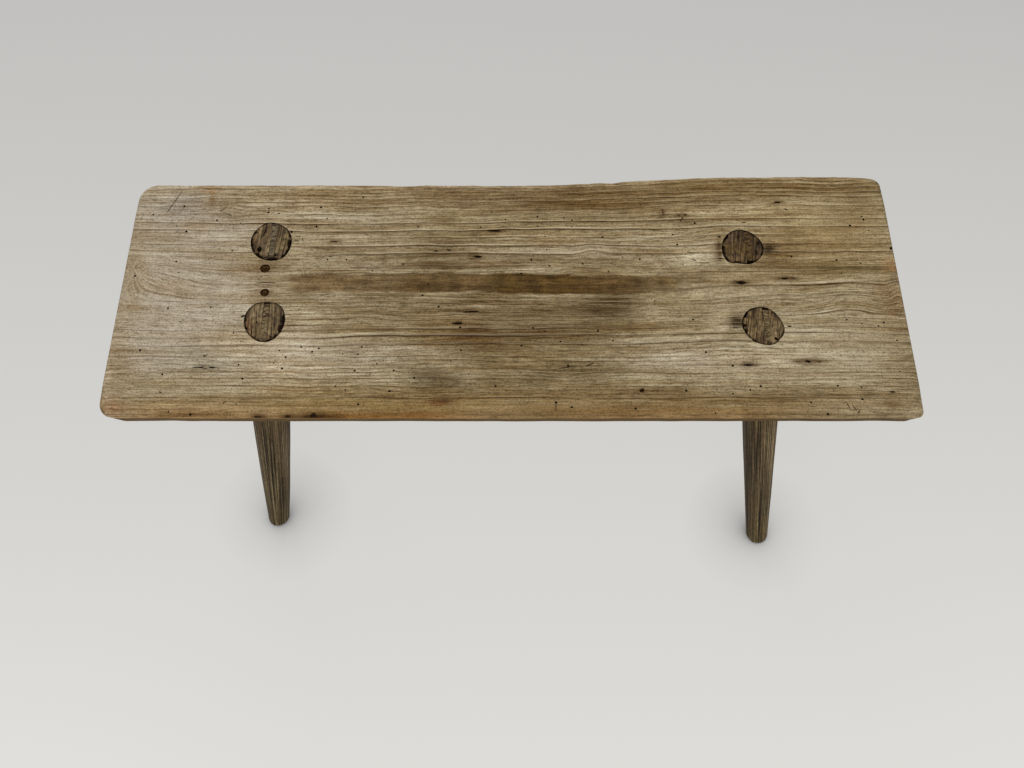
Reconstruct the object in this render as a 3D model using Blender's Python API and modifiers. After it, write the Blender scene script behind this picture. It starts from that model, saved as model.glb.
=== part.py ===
"""Country bench: one thick hewn plank on four raked stake legs.

Each leg's top is a tapered tenon that runs right through the plank in a reamed bore. A kerf is
sawn down into the tenon from the top, across the plank's grain, and a wedge driven into the kerf
locks the leg. Two round pegs plug two old holes between the left legs. Nothing moves.

Axes: X along the seat, Y from the front edge to the rear edge, Z up. The origin is on the floor,
in the middle of the bench's footprint. Lengths are in metres and angles in degrees.
"""
import math

import bmesh
import bpy
from mathutils import Matrix, Vector

# Driving sizes of the bench; the seat's are taken over its sharp upper rim, before it is eased
SEAT_LENGTH = 1.000
SEAT_DEPTH_LEFT = 0.3455
SEAT_DEPTH_RIGHT = 0.3597
SEAT_THICKNESS = 0.048
SEAT_HEIGHT = 0.440
FIT_CLEARANCE = 0.0003
CUT_OVERRUN = 0.010
MERGE_DISTANCE = 0.00001

# Seat plank: rounded corners in plan, worn arrises, and edges hewn back under the seat
FRONT_LEFT_CORNER_RADIUS = 0.031
FRONT_RIGHT_CORNER_RADIUS = 0.017
REAR_RIGHT_CORNER_RADIUS = 0.015
REAR_LEFT_CORNER_RADIUS = 0.027
LONG_EDGE_DRAW_IN = 0.015
END_DRAW_IN = 0.004
TOP_ARRIS_RADIUS = 0.008
BOTTOM_ARRIS_SHARE = 0.5
WIDENING_START_SHARE = 0.48
WIDENING_END_SHARE = 0.84
REAR_EDGE_STEPS = 12
CORNER_STEPS = 6
ARRIS_STEPS = 4

# Places of the tenons in the seat's top face: each from the nearest end, and back from the front
# edge as a share of the seat's depth there
FRONT_LEFT_FROM_END = 0.1900
FRONT_LEFT_DEPTH_SHARE = 0.379
FRONT_RIGHT_FROM_END = 0.1840
FRONT_RIGHT_DEPTH_SHARE = 0.349
REAR_LEFT_FROM_END = 0.1846
REAR_LEFT_DEPTH_SHARE = 0.731
REAR_RIGHT_FROM_END = 0.1963
REAR_RIGHT_DEPTH_SHARE = 0.678

# Slant of the legs: rake runs front to back, and splay runs towards the seat's ends
LEFT_RAKE_DEGREES = 14.0
LEFT_SPLAY_DEGREES = 7.8
RIGHT_RAKE_DEGREES = 16.7
RIGHT_SPLAY_DEGREES = 9.4

# Stake legs: thickest at the underside of the seat and shaved to a slim foot
LEFT_TENON_DIAMETER = 0.0520
LEFT_SHOULDER_DIAMETER = 0.0560
LEFT_FOOT_DIAMETER = 0.0330
LEFT_BELLY_POWER = 1.7
RIGHT_TENON_DIAMETER = 0.0522
RIGHT_SHOULDER_DIAMETER = 0.0545
RIGHT_FOOT_DIAMETER = 0.0335
RIGHT_BELLY_POWER = 1.2
TENON_SET_BACK = 0.0005
SOLE_ARRIS_RADIUS = 0.0030
SOLE_ARRIS_STEPS = 2
LEG_SIDES = 32
LEG_RINGS = 10

# Wedges: thin plates driven from above, each in a kerf beside the middle of its tenon
WEDGE_THICKNESS = 0.0070
WEDGE_TIP_THICKNESS = 0.0012
WEDGE_LENGTH = 0.036
FRONT_LEFT_WEDGE_OFFSET = 0.0005
FRONT_RIGHT_WEDGE_OFFSET = 0.0055
REAR_LEFT_WEDGE_OFFSET = 0.0040
REAR_RIGHT_WEDGE_OFFSET = 0.0060

# Pegs that plug two old holes between the left legs, placed as the tenons are
FRONT_PEG_DIAMETER = 0.0120
FRONT_PEG_FROM_END = 0.1858
FRONT_PEG_DEPTH_SHARE = 0.504
REAR_PEG_DIAMETER = 0.0105
REAR_PEG_FROM_END = 0.1845
REAR_PEG_DEPTH_SHARE = 0.607
PEG_SET_BACK = 0.0006
PEG_SIDES = 24

# Colours of the woods, linear red, green and blue
SEAT_COLOUR = (0.243, 0.181, 0.104)
LEG_COLOUR = (0.068, 0.052, 0.031)
WEDGE_COLOUR = (0.098, 0.092, 0.070)
PEG_COLOUR = (0.030, 0.017, 0.008)
SEAT_ROUGHNESS = 0.78
LEG_ROUGHNESS = 0.72
WEDGE_ROUGHNESS = 0.80
PEG_ROUGHNESS = 0.70


def clear_scene():
    """Remove whatever the scene holds."""
    for old in list(bpy.data.objects):
        bpy.data.objects.remove(old, do_unlink=True)


def new_collection(name):
    """Make a collection under the scene's own."""
    made = bpy.data.collections.new(name)
    bpy.context.scene.collection.children.link(made)
    return made


def wood_material(name, colour, roughness):
    """A bare, dry wood."""
    material = bpy.data.materials.new(name)
    material.use_nodes = True
    shader = material.node_tree.nodes["Principled BSDF"]
    shader.inputs["Base Color"].default_value = (*colour, 1.0)
    shader.inputs["Roughness"].default_value = roughness
    shader.inputs["Metallic"].default_value = 0.0
    return material


def add_object(name, mesh, collection, frame=None, material=None):
    """Put a mesh in a collection at a place, with its material and smooth shading."""
    made = bpy.data.objects.new(name, mesh)
    collection.objects.link(made)
    if frame is not None:
        made.matrix_world = frame
    if material is not None:
        mesh.materials.clear()
        mesh.materials.append(material)
    mesh.shade_smooth()
    mesh.set_sharp_from_angle(angle=math.radians(35.0))
    return made


def as_guide(guide):
    """Show an object as a wire guide that is left out of renders."""
    guide.hide_render = True
    guide.display_type = 'WIRE'
    return guide


def add_boolean(target, cutter, operation):
    """Cut a piece with another solid, or keep only what both hold."""
    modifier = target.modifiers.new(operation.lower() + "_" + cutter.name, 'BOOLEAN')
    modifier.operation = operation
    modifier.object = cutter


def rear_edge(x):
    """Distance of the rear edge behind the front edge: the plank widens smoothly to the right."""
    along = x / SEAT_LENGTH + 0.5
    t = (along - WIDENING_START_SHARE) / (WIDENING_END_SHARE - WIDENING_START_SHARE)
    t = min(max(t, 0.0), 1.0)
    return SEAT_DEPTH_LEFT + (SEAT_DEPTH_RIGHT - SEAT_DEPTH_LEFT) * t * t * (3.0 - 2.0 * t)


def top_place(side, from_end, depth_share):
    """Place in the top face, from the left end where side is -1 and from the right where it is 1."""
    x = side * (SEAT_LENGTH / 2.0 - from_end)
    return Vector((x, rear_edge(x) * depth_share, SEAT_HEIGHT))


def leg_direction(side, row, rake, splay):
    """Direction from the tenon down to the foot, one unit down for each unit of height. side is
    -1 left or 1 right, and row is -1 front or 1 rear."""
    sideways = side * math.tan(math.radians(splay))
    lengthways = row * math.tan(math.radians(rake))
    return Vector((sideways, lengthways, -1.0))


def leg_frame(top, direction):
    """Frame at the tenon's centre: Z up the leg, and Y as near as it can be to front-to-back."""
    z_axis = -direction.normalized()
    x_axis = Vector((0.0, 1.0, 0.0)).cross(z_axis).normalized()
    y_axis = z_axis.cross(x_axis)
    turn = Matrix((x_axis, y_axis, z_axis)).transposed().to_4x4()
    return Matrix.Translation(top) @ turn


def tenon_radius(leg, z):
    """Radius of the tapered tenon at a height z along the leg, which is zero at the seat's top."""
    length = SEAT_THICKNESS * leg["stretch"]
    return leg["tenon"] + (leg["shoulder"] - leg["tenon"]) * -z / length


def blank_profile(leg):
    """Half outline of the leg before it is cut to length, from the axis at its top end round to
    the axis at its bottom end. Below the seat the radius falls as a power of the way down."""
    reach = leg["shoulder"] + CUT_OVERRUN
    seat = SEAT_THICKNESS * leg["stretch"]
    shank = (SEAT_HEIGHT - SEAT_THICKNESS) * leg["stretch"]
    points = [(0.0, reach), (tenon_radius(leg, reach), reach), (leg["shoulder"], -seat)]
    for ring in range(1, LEG_RINGS + 1):
        down = ring / LEG_RINGS
        radius = leg["foot"] + (leg["shoulder"] - leg["foot"]) * (1.0 - down ** leg["belly"])
        points.append((radius, -seat - shank * down))
    points.append((leg["foot"], -seat - shank - reach))
    points.append((0.0, -seat - shank - reach))
    return points


def bore_profile(leg):
    """Half outline of the reamer that cuts the leg's bore, wider than the tenon by the fit."""
    reach = leg["shoulder"] + CUT_OVERRUN
    low = -SEAT_THICKNESS * leg["stretch"] - reach
    top_radius = tenon_radius(leg, reach) + FIT_CLEARANCE
    low_radius = tenon_radius(leg, low) + FIT_CLEARANCE
    return [(0.0, reach), (top_radius, reach), (low_radius, low), (0.0, low)]


def turned_mesh(name, profile, sides):
    """Spin a half outline about Z with a Screw modifier and return the closed mesh."""
    outline = bpy.data.meshes.new(name + "_profile")
    edges = [(i, i + 1) for i in range(len(profile) - 1)]
    outline.from_pydata([(radius, 0.0, z) for radius, z in profile], edges, [])
    blank = bpy.data.objects.new(name + "_profile", outline)
    bpy.context.scene.collection.objects.link(blank)
    screw = blank.modifiers.new("turn", 'SCREW')
    screw.steps = sides
    screw.render_steps = sides
    screw.use_merge_vertices = True
    screw.merge_threshold = MERGE_DISTANCE
    bpy.context.view_layer.update()
    graph = bpy.context.evaluated_depsgraph_get()
    mesh = bpy.data.meshes.new_from_object(blank.evaluated_get(graph))
    mesh.name = name
    bpy.data.objects.remove(blank, do_unlink=True)
    return mesh


def cut_level(bm, frame, height, below):
    """Saw a solid level at a height of the bench, take away what is below or above, and close
    the cut. Returns the cut's edges."""
    to_local = frame.inverted()
    outward = Vector((0.0, 0.0, -1.0 if below else 1.0))
    place = to_local @ Vector((frame.translation.x, frame.translation.y, height))
    normal = (to_local.to_3x3() @ outward).normalized()
    everything = bm.verts[:] + bm.edges[:] + bm.faces[:]
    cut = bmesh.ops.bisect_plane(bm, geom=everything, plane_co=place, plane_no=normal,
                                 clear_outer=True)
    rim = [item for item in cut["geom_cut"] if isinstance(item, bmesh.types.BMEdge)]
    bmesh.ops.edgeloop_fill(bm, edges=rim)
    bmesh.ops.recalc_face_normals(bm, faces=bm.faces[:])
    return rim


def finish_mesh(bm, name):
    """Write a bmesh to a new mesh."""
    mesh = bpy.data.meshes.new(name)
    bm.to_mesh(mesh)
    bm.free()
    return mesh


def leg_mesh(leg):
    """Stake blank sawn level at the seat's top and at the floor, with the sole's arris eased."""
    bm = bmesh.new()
    bm.from_mesh(leg["blank"].data)
    cut_level(bm, leg["frame"], SEAT_HEIGHT - TENON_SET_BACK, below=False)
    rim = cut_level(bm, leg["frame"], 0.0, below=True)
    bmesh.ops.bevel(bm, geom=rim, offset=SOLE_ARRIS_RADIUS, offset_type='OFFSET',
                    segments=SOLE_ARRIS_STEPS, profile=0.5, affect='EDGES')
    return finish_mesh(bm, leg["name"])


def wedge_bmesh(leg, grow, width):
    """Tapered plate along the leg: full thickness at the seat's top and thin at its tip. grow is
    added all round, for the kerf, and width is its size across the tenon."""
    reach = leg["shoulder"] + CUT_OVERRUN
    slope = (WEDGE_THICKNESS - WEDGE_TIP_THICKNESS) / WEDGE_LENGTH
    low = -WEDGE_LENGTH - grow
    bm = bmesh.new()
    bmesh.ops.create_cube(bm, size=1.0)
    for vert in bm.verts:
        z = reach if vert.co.z > 0.0 else low
        thickness = WEDGE_THICKNESS + slope * z + 2.0 * grow
        vert.co = (leg["offset"] + vert.co.x * thickness, vert.co.y * width, z)
    return bm


def wedge_mesh(leg):
    """The wedge itself, sawn level with the tenon."""
    bm = wedge_bmesh(leg, 0.0, 2.0 * leg["shoulder"])
    cut_level(bm, leg["frame"], SEAT_HEIGHT - TENON_SET_BACK, below=False)
    return finish_mesh(bm, leg["name"] + "_wedge")


def corner_arc(corner_x, corner_y, radius, side, row):
    """Points of one rounded corner, anticlockwise seen from above."""
    centre_x = corner_x - side * radius
    centre_y = corner_y - row * radius
    start = math.atan2(row, side) - math.pi / 4.0
    turns = [start + math.pi / 2.0 * step / CORNER_STEPS for step in range(CORNER_STEPS + 1)]
    return [(centre_x + radius * math.cos(turn), centre_y + radius * math.sin(turn))
            for turn in turns]


def seat_outline():
    """The plank in plan: straight front edge and ends, four unlike round corners, and a rear
    edge that swells out to the right."""
    half = SEAT_LENGTH / 2.0
    points = corner_arc(half, 0.0, FRONT_RIGHT_CORNER_RADIUS, 1, -1)
    points += corner_arc(half, SEAT_DEPTH_RIGHT, REAR_RIGHT_CORNER_RADIUS, 1, 1)
    right = half - REAR_RIGHT_CORNER_RADIUS
    left = -half + REAR_LEFT_CORNER_RADIUS
    for step in range(1, REAR_EDGE_STEPS):
        x = right + (left - right) * step / REAR_EDGE_STEPS
        points.append((x, rear_edge(x)))
    points += corner_arc(-half, SEAT_DEPTH_LEFT, REAR_LEFT_CORNER_RADIUS, -1, 1)
    points += corner_arc(-half, 0.0, FRONT_LEFT_CORNER_RADIUS, -1, -1)
    return points


def seat_mesh():
    """Extrude the outline, weld its caps, and draw the underside in along edges and ends."""
    curve = bpy.data.curves.new("seat_outline", 'CURVE')
    curve.dimensions = '2D'
    curve.fill_mode = 'BOTH'
    curve.extrude = SEAT_THICKNESS / 2.0
    outline = seat_outline()
    spline = curve.splines.new('POLY')
    spline.points.add(len(outline) - 1)
    for point, (x, y) in zip(spline.points, outline):
        point.co = (x, y, 0.0, 1.0)
    spline.use_cyclic_u = True
    flat = bpy.data.objects.new("seat_outline", curve)
    bpy.context.scene.collection.objects.link(flat)
    bpy.context.view_layer.update()
    graph = bpy.context.evaluated_depsgraph_get()
    raw = bpy.data.meshes.new_from_object(flat.evaluated_get(graph))
    bpy.data.objects.remove(flat, do_unlink=True)
    bm = bmesh.new()
    bm.from_mesh(raw)
    bmesh.ops.remove_doubles(bm, verts=bm.verts[:], dist=MERGE_DISTANCE)
    bmesh.ops.dissolve_limit(bm, angle_limit=math.radians(0.5), verts=bm.verts[:],
                             edges=bm.edges[:])
    middle = (SEAT_DEPTH_LEFT + SEAT_DEPTH_RIGHT) / 4.0
    draw_in = Vector((1.0 - 2.0 * END_DRAW_IN / SEAT_LENGTH, 1.0 - LONG_EDGE_DRAW_IN / middle, 1.0))
    for vert in bm.verts:
        if vert.co.z < 0.0:
            vert.co.x *= draw_in.x
            vert.co.y = middle + (vert.co.y - middle) * draw_in.y
    weights = bm.edges.layers.float.new("bevel_weight_edge")
    for edge in bm.edges:
        heights = [vert.co.z for vert in edge.verts]
        if min(heights) > 0.0:
            edge[weights] = 1.0
        elif max(heights) < 0.0:
            edge[weights] = BOTTOM_ARRIS_SHARE
    return finish_mesh(bm, "seat_plank")


def build_seat(parts, origin, material):
    """The seat plank with its worn arrises; the bores are cut afterwards."""
    frame = Matrix.Translation(Vector((0.0, 0.0, SEAT_HEIGHT - SEAT_THICKNESS / 2.0)) - origin)
    seat = add_object("seat_plank", seat_mesh(), parts, frame, material)
    arris = seat.modifiers.new("worn_arris", 'BEVEL')
    arris.limit_method = 'WEIGHT'
    arris.width = TOP_ARRIS_RADIUS
    arris.segments = ARRIS_STEPS
    return seat


def leg_places():
    """The four legs, each with its place, its slant and its own sizes."""
    left = (LEFT_RAKE_DEGREES, LEFT_SPLAY_DEGREES, LEFT_TENON_DIAMETER, LEFT_SHOULDER_DIAMETER,
            LEFT_FOOT_DIAMETER, LEFT_BELLY_POWER)
    right = (RIGHT_RAKE_DEGREES, RIGHT_SPLAY_DEGREES, RIGHT_TENON_DIAMETER,
             RIGHT_SHOULDER_DIAMETER, RIGHT_FOOT_DIAMETER, RIGHT_BELLY_POWER)
    rows = (
        ("front_left", -1, -1, FRONT_LEFT_FROM_END, FRONT_LEFT_DEPTH_SHARE,
         FRONT_LEFT_WEDGE_OFFSET, left),
        ("front_right", 1, -1, FRONT_RIGHT_FROM_END, FRONT_RIGHT_DEPTH_SHARE,
         FRONT_RIGHT_WEDGE_OFFSET, right),
        ("rear_left", -1, 1, REAR_LEFT_FROM_END, REAR_LEFT_DEPTH_SHARE,
         REAR_LEFT_WEDGE_OFFSET, left),
        ("rear_right", 1, 1, REAR_RIGHT_FROM_END, REAR_RIGHT_DEPTH_SHARE,
         REAR_RIGHT_WEDGE_OFFSET, right),
    )
    legs = []
    for name, side, row, from_end, depth_share, offset, sizes in rows:
        rake, splay, tenon, shoulder, foot, belly = sizes
        direction = leg_direction(side, row, rake, splay)
        top = top_place(side, from_end, depth_share)
        legs.append({
            "name": name,
            "top": top,
            "direction": direction,
            "stretch": direction.length,
            "sole": top + direction * SEAT_HEIGHT,
            "tenon": tenon / 2.0,
            "shoulder": shoulder / 2.0,
            "foot": foot / 2.0,
            "belly": belly,
            "offset": offset,
        })
    return legs


def footprint_centre(legs):
    """Middle of the floor space, between the soles' front and rear limits."""
    front = min(leg["sole"].y - leg["foot"] for leg in legs)
    rear = max(leg["sole"].y + leg["foot"] for leg in legs)
    return Vector((0.0, (front + rear) / 2.0, 0.0))


def build_leg(leg, origin, parts, cutters, seat, leg_wood, wedge_wood):
    """One stake leg with its kerf, its wedge, and its bore in the seat."""
    leg["frame"] = leg_frame(leg["top"] - origin, leg["direction"])
    name = leg["name"]
    blank_mesh = turned_mesh(name + "_blank", blank_profile(leg), LEG_SIDES)
    leg["blank"] = as_guide(add_object(name + "_blank", blank_mesh, cutters, leg["frame"]))

    reamer_mesh = turned_mesh(name + "_reamer", bore_profile(leg), LEG_SIDES)
    reamer = as_guide(add_object(name + "_reamer", reamer_mesh, cutters, leg["frame"]))
    add_boolean(seat, reamer, 'DIFFERENCE')

    kerf_width = 2.0 * leg["shoulder"] + 2.0 * CUT_OVERRUN
    kerf_mesh = finish_mesh(wedge_bmesh(leg, FIT_CLEARANCE, kerf_width), name + "_kerf")
    kerf = as_guide(add_object(name + "_kerf", kerf_mesh, cutters, leg["frame"]))

    stake = add_object(name + "_leg", leg_mesh(leg), parts, leg["frame"], leg_wood)
    add_boolean(stake, kerf, 'DIFFERENCE')

    wedge = add_object(name + "_wedge", wedge_mesh(leg), parts, leg["frame"], wedge_wood)
    add_boolean(wedge, leg["blank"], 'INTERSECT')


def cylinder_mesh(name, radius, depth, sides):
    """A plain round bar about Z, centred on its middle."""
    bm = bmesh.new()
    bmesh.ops.create_cone(bm, cap_ends=True, segments=sides, radius1=radius, radius2=radius,
                          depth=depth)
    return finish_mesh(bm, name)


def build_peg(name, diameter, from_end, depth_share, origin, parts, cutters, seat, material):
    """A round peg through the plank, set a little back from both faces, and its hole."""
    middle = top_place(-1, from_end, depth_share) - Vector((0.0, 0.0, SEAT_THICKNESS / 2.0))
    frame = Matrix.Translation(middle - origin)
    length = SEAT_THICKNESS - 2.0 * PEG_SET_BACK
    radius = diameter / 2.0
    hole_mesh = cylinder_mesh(name + "_hole", radius + FIT_CLEARANCE,
                              SEAT_THICKNESS + 2.0 * CUT_OVERRUN, PEG_SIDES)
    hole = as_guide(add_object(name + "_hole", hole_mesh, cutters, frame))
    add_boolean(seat, hole, 'DIFFERENCE')
    add_object(name, cylinder_mesh(name, radius, length, PEG_SIDES), parts, frame, material)


clear_scene()
bench = new_collection("country_bench")
guides = new_collection("cutters_and_guides")
all_legs = leg_places()
bench_origin = footprint_centre(all_legs)
seat_plank = build_seat(bench, bench_origin, wood_material("seat_pine", SEAT_COLOUR, SEAT_ROUGHNESS))
for each_leg in all_legs:
    leg_material = wood_material(each_leg["name"] + "_leg_wood", LEG_COLOUR, LEG_ROUGHNESS)
    wedge_material = wood_material(each_leg["name"] + "_wedge_wood", WEDGE_COLOUR, WEDGE_ROUGHNESS)
    build_leg(each_leg, bench_origin, bench, guides, seat_plank, leg_material, wedge_material)
build_peg("front_peg", FRONT_PEG_DIAMETER, FRONT_PEG_FROM_END, FRONT_PEG_DEPTH_SHARE, bench_origin,
          bench, guides, seat_plank, wood_material("front_peg_wood", PEG_COLOUR, PEG_ROUGHNESS))
build_peg("rear_peg", REAR_PEG_DIAMETER, REAR_PEG_FROM_END, REAR_PEG_DEPTH_SHARE, bench_origin,
          bench, guides, seat_plank, wood_material("rear_peg_wood", PEG_COLOUR, PEG_ROUGHNESS))
bpy.context.view_layer.update()
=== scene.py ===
"""Country bench: a thick, worn, flat-sawn pine plank on four raked stake legs. Each leg's tenon
runs right through the plank and is locked by a wedge, and two round pegs plug two old holes."""
import math

import bmesh
import bpy
import numpy as np
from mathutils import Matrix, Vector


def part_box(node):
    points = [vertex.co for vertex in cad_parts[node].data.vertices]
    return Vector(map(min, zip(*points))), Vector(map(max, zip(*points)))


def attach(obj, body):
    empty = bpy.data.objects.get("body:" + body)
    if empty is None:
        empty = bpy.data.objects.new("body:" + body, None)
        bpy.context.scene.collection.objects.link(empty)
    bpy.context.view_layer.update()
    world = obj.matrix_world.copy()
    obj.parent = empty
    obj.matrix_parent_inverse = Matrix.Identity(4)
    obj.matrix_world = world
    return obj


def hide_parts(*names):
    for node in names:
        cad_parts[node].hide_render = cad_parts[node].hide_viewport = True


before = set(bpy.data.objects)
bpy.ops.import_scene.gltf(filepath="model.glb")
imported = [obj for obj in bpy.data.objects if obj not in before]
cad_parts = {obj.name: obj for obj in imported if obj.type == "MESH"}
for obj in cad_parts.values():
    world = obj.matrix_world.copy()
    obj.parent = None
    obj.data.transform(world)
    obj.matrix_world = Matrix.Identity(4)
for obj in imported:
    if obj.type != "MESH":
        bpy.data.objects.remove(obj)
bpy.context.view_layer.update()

# Where the bench is seen from: a viewer who stands in front of it and looks steeply down, so that
# the seat's top shows whole, with the front edge and the front feet below it.
PICTURE_WIDTH = 1024
PICTURE_HEIGHT = 768
EYE = (0.0013, -0.6863, 1.5577)
LOOK_DOWN_DEGREES = 64.0
FOCAL_PIXELS = 1020.0
SENSOR_WIDTH = 36.0

viewer = bpy.data.objects.new("viewer", bpy.data.cameras.new("viewer"))
viewer.location = EYE
viewer.rotation_euler = (math.radians(90.0 - LOOK_DOWN_DEGREES), 0.0, 0.0)
viewer.data.sensor_width = SENSOR_WIDTH
viewer.data.lens = SENSOR_WIDTH * FOCAL_PIXELS / PICTURE_WIDTH
bpy.context.scene.collection.objects.link(viewer)
bpy.context.scene.camera = viewer


# Seat plank: one flat-sawn pine board with its corners and arrises worn round. The soft wood of
# each year's ring has worn away between the hard ones, which stand up as fine ridges, and beetles
# have left their round holes. Four bores and two peg holes go through it.
SEAT_LOW, SEAT_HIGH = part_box("seat_plank")
SEAT_TOP = SEAT_HIGH.z
HALF_LENGTH = SEAT_HIGH.x - 0.0002
FRONT = SEAT_LOW.y - 0.0010
REAR = SEAT_HIGH.y + 0.0018
MIDDLE_Y = (FRONT + REAR) / 2.0
THICKNESS = SEAT_HIGH.z - SEAT_LOW.z
WIDENING = 0.0141
WIDENING_SHARES = (0.48, 0.84)
FRONT_LEFT_CORNER = 0.019
FRONT_RIGHT_CORNER = 0.008
REAR_RIGHT_CORNER = 0.014
REAR_LEFT_CORNER = 0.024
ARRIS_WIDTH = 0.0085
ARRIS_DEPTH = 0.0070
END_ARRIS_SHARE = 0.62
LONG_EDGE_SLOPE = 0.31
END_SLOPE = 0.083


def seat_place(columns, rows):
    """Where the line of sight through a pixel meets the level of the seat's top. The pixel gives
    the ray's slope to the side and downwards, the camera's pitch turns it, and it is stretched
    until it has fallen from the eye to the seat."""
    pitch = math.radians(LOOK_DOWN_DEGREES)
    aside = (np.asarray(columns, float) - PICTURE_WIDTH / 2) / FOCAL_PIXELS
    below = (np.asarray(rows, float) - PICTURE_HEIGHT / 2) / FOCAL_PIXELS
    reach = (EYE[2] - SEAT_TOP) / (math.sin(pitch) + below * math.cos(pitch))
    return EYE[0] + aside * reach, EYE[1] + (math.cos(pitch) - below * math.sin(pitch)) * reach


def seen_pixel(x, y):
    """The other way round: the pixel column and row at which a place on the seat's top is seen,
    its sideways and upward distances from the line of sight over its distance along it."""
    pitch = math.radians(LOOK_DOWN_DEGREES)
    ahead, down = y - EYE[1], EYE[2] - SEAT_TOP
    distance = ahead * math.cos(pitch) + down * math.sin(pitch)
    above = ahead * math.sin(pitch) - down * math.cos(pitch)
    column = PICTURE_WIDTH / 2 + FOCAL_PIXELS * (x - EYE[0]) / distance
    return column, PICTURE_HEIGHT / 2 - FOCAL_PIXELS * above / distance


def smooth_step(t):
    """Ease from 0 to 1: three times the square less twice the cube, level at both ends."""
    t = np.clip(t, 0.0, 1.0)
    return t * t * (3.0 - 2.0 * t)


LATTICE_SIZE = 256


def soft_noise(x, y, seed):
    """Smooth random heights from -1 to 1: seeded values on the points of a unit lattice, eased
    between the four that surround each place."""
    lattice = np.random.default_rng(seed).uniform(-1.0, 1.0, (LATTICE_SIZE, LATTICE_SIZE))
    column, row = np.floor(x).astype(int), np.floor(y).astype(int)
    s, t = smooth_step(x - column), smooth_step(y - row)
    left, right = column % LATTICE_SIZE, (column + 1) % LATTICE_SIZE
    near, far = row % LATTICE_SIZE, (row + 1) % LATTICE_SIZE
    lower = lattice[left, near] * (1 - s) + lattice[right, near] * s
    upper = lattice[left, far] * (1 - s) + lattice[right, far] * s
    return lower * (1 - t) + upper * t


def ripple(column, row, size, length, height, seed, shift=0.0):
    """Random sway over the picture: the size times the soft noise of the column over the waves'
    length, plus the shift, and of the row over their height."""
    return size * soft_noise(column / length + shift, row / height, seed)


def bell(x, y, middle_x, middle_y, half_x, half_y):
    """A round hill 1 high: e to the minus of the squared distances from its middle, each over the
    half width or half height."""
    return np.exp(-((x - middle_x) / half_x) ** 2 - ((y - middle_y) / half_y) ** 2)


# Nicks and hollows of the long edges as seen: column, half width, and how far in they reach
REAR_NICKS = ((404, 16, 0.0014), (560, 60, 0.0012), (612, 7, 0.0018), (760, 14, 0.0007),
              (877, 20, 0.0030))
FRONT_NICKS = ((150, 30, 0.0008), (520, 60, -0.0002), (893, 20, 0.0008))
# Wear of the long edges: how far in it reaches, waves to the metre, and the noise's seed
FRONT_WEAR = ((0.00025, 45.0, 3),)
REAR_WEAR = ((0.00030, 60.0, 4), (0.00035, 210.0, 5))


def long_edges(x):
    """The front and the rear edge at each x as if the corners were square: the rear one swells out
    to the right by a smooth step, and both are a little worn and nicked by bell-shaped bites."""
    start, end = WIDENING_SHARES
    along = (x / HALF_LENGTH + 1.0) / 2.0
    front = FRONT + 0.0 * x
    rear = REAR - WIDENING * (1.0 - smooth_step((along - start) / (end - start)))
    for reach, waves, seed in FRONT_WEAR:
        front = front + reach * (1.0 + soft_noise(x * waves, x * 0.0, seed))
    for reach, waves, seed in REAR_WEAR:
        rear = rear - reach * (1.0 + soft_noise(x * waves, x * 0.0, seed))
    for middle, half, reach in FRONT_NICKS:
        front = front + reach * np.exp(-((seen_pixel(x, FRONT)[0] - middle) / half) ** 2)
    for middle, half, reach in REAR_NICKS:
        rear = rear - reach * np.exp(-((seen_pixel(x, REAR)[0] - middle) / half) ** 2)
    return front, rear


def outline(x):
    """The front and the rear edge with the corners turned as quarter circles: each edge draws in
    by the radius less the height of the circle there."""
    front, rear = long_edges(x)
    front_radius = np.where(x < 0.0, FRONT_LEFT_CORNER, FRONT_RIGHT_CORNER)
    rear_radius = np.where(x < 0.0, REAR_LEFT_CORNER, REAR_RIGHT_CORNER)
    front_in = np.clip(front_radius - (HALF_LENGTH - np.abs(x)), 0.0, front_radius)
    rear_in = np.clip(rear_radius - (HALF_LENGTH - np.abs(x)), 0.0, rear_radius)
    return (front + front_radius - np.sqrt(front_radius ** 2 - front_in ** 2),
            rear - rear_radius + np.sqrt(rear_radius ** 2 - rear_in ** 2))


def inside_by(x, y):
    """How far a place lies inside the outline: the least of its distances to the ends and the long
    edges, or in a corner's square the radius less the distance from the corner's centre."""
    front, rear = long_edges(x)
    to_end, to_front, to_rear = HALF_LENGTH - np.abs(x), y - front, rear - y
    inside = np.minimum(to_end, np.minimum(to_front, to_rear))
    for to_edge, left, right in ((to_front, FRONT_LEFT_CORNER, FRONT_RIGHT_CORNER),
                                 (to_rear, REAR_LEFT_CORNER, REAR_RIGHT_CORNER)):
        radius = np.where(x < 0.0, left, right)
        in_corner = (to_end < radius) & (to_edge < radius)
        inside = np.where(in_corner, radius - np.hypot(radius - to_end, radius - to_edge), inside)
    return np.maximum(inside, 0.0)


# The grain, in rows of the picture at the seat's middle: the pith line, and outwards from it the
# hard ridge of each year with its prominence. The log's heart lies below the plank.
PITH_ROW = 284.0
HEART_BELOW_ROWS = 60.0
HEART_RING_ROWS = 4.0
DEPTH_PER_ROW = 0.00147
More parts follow.
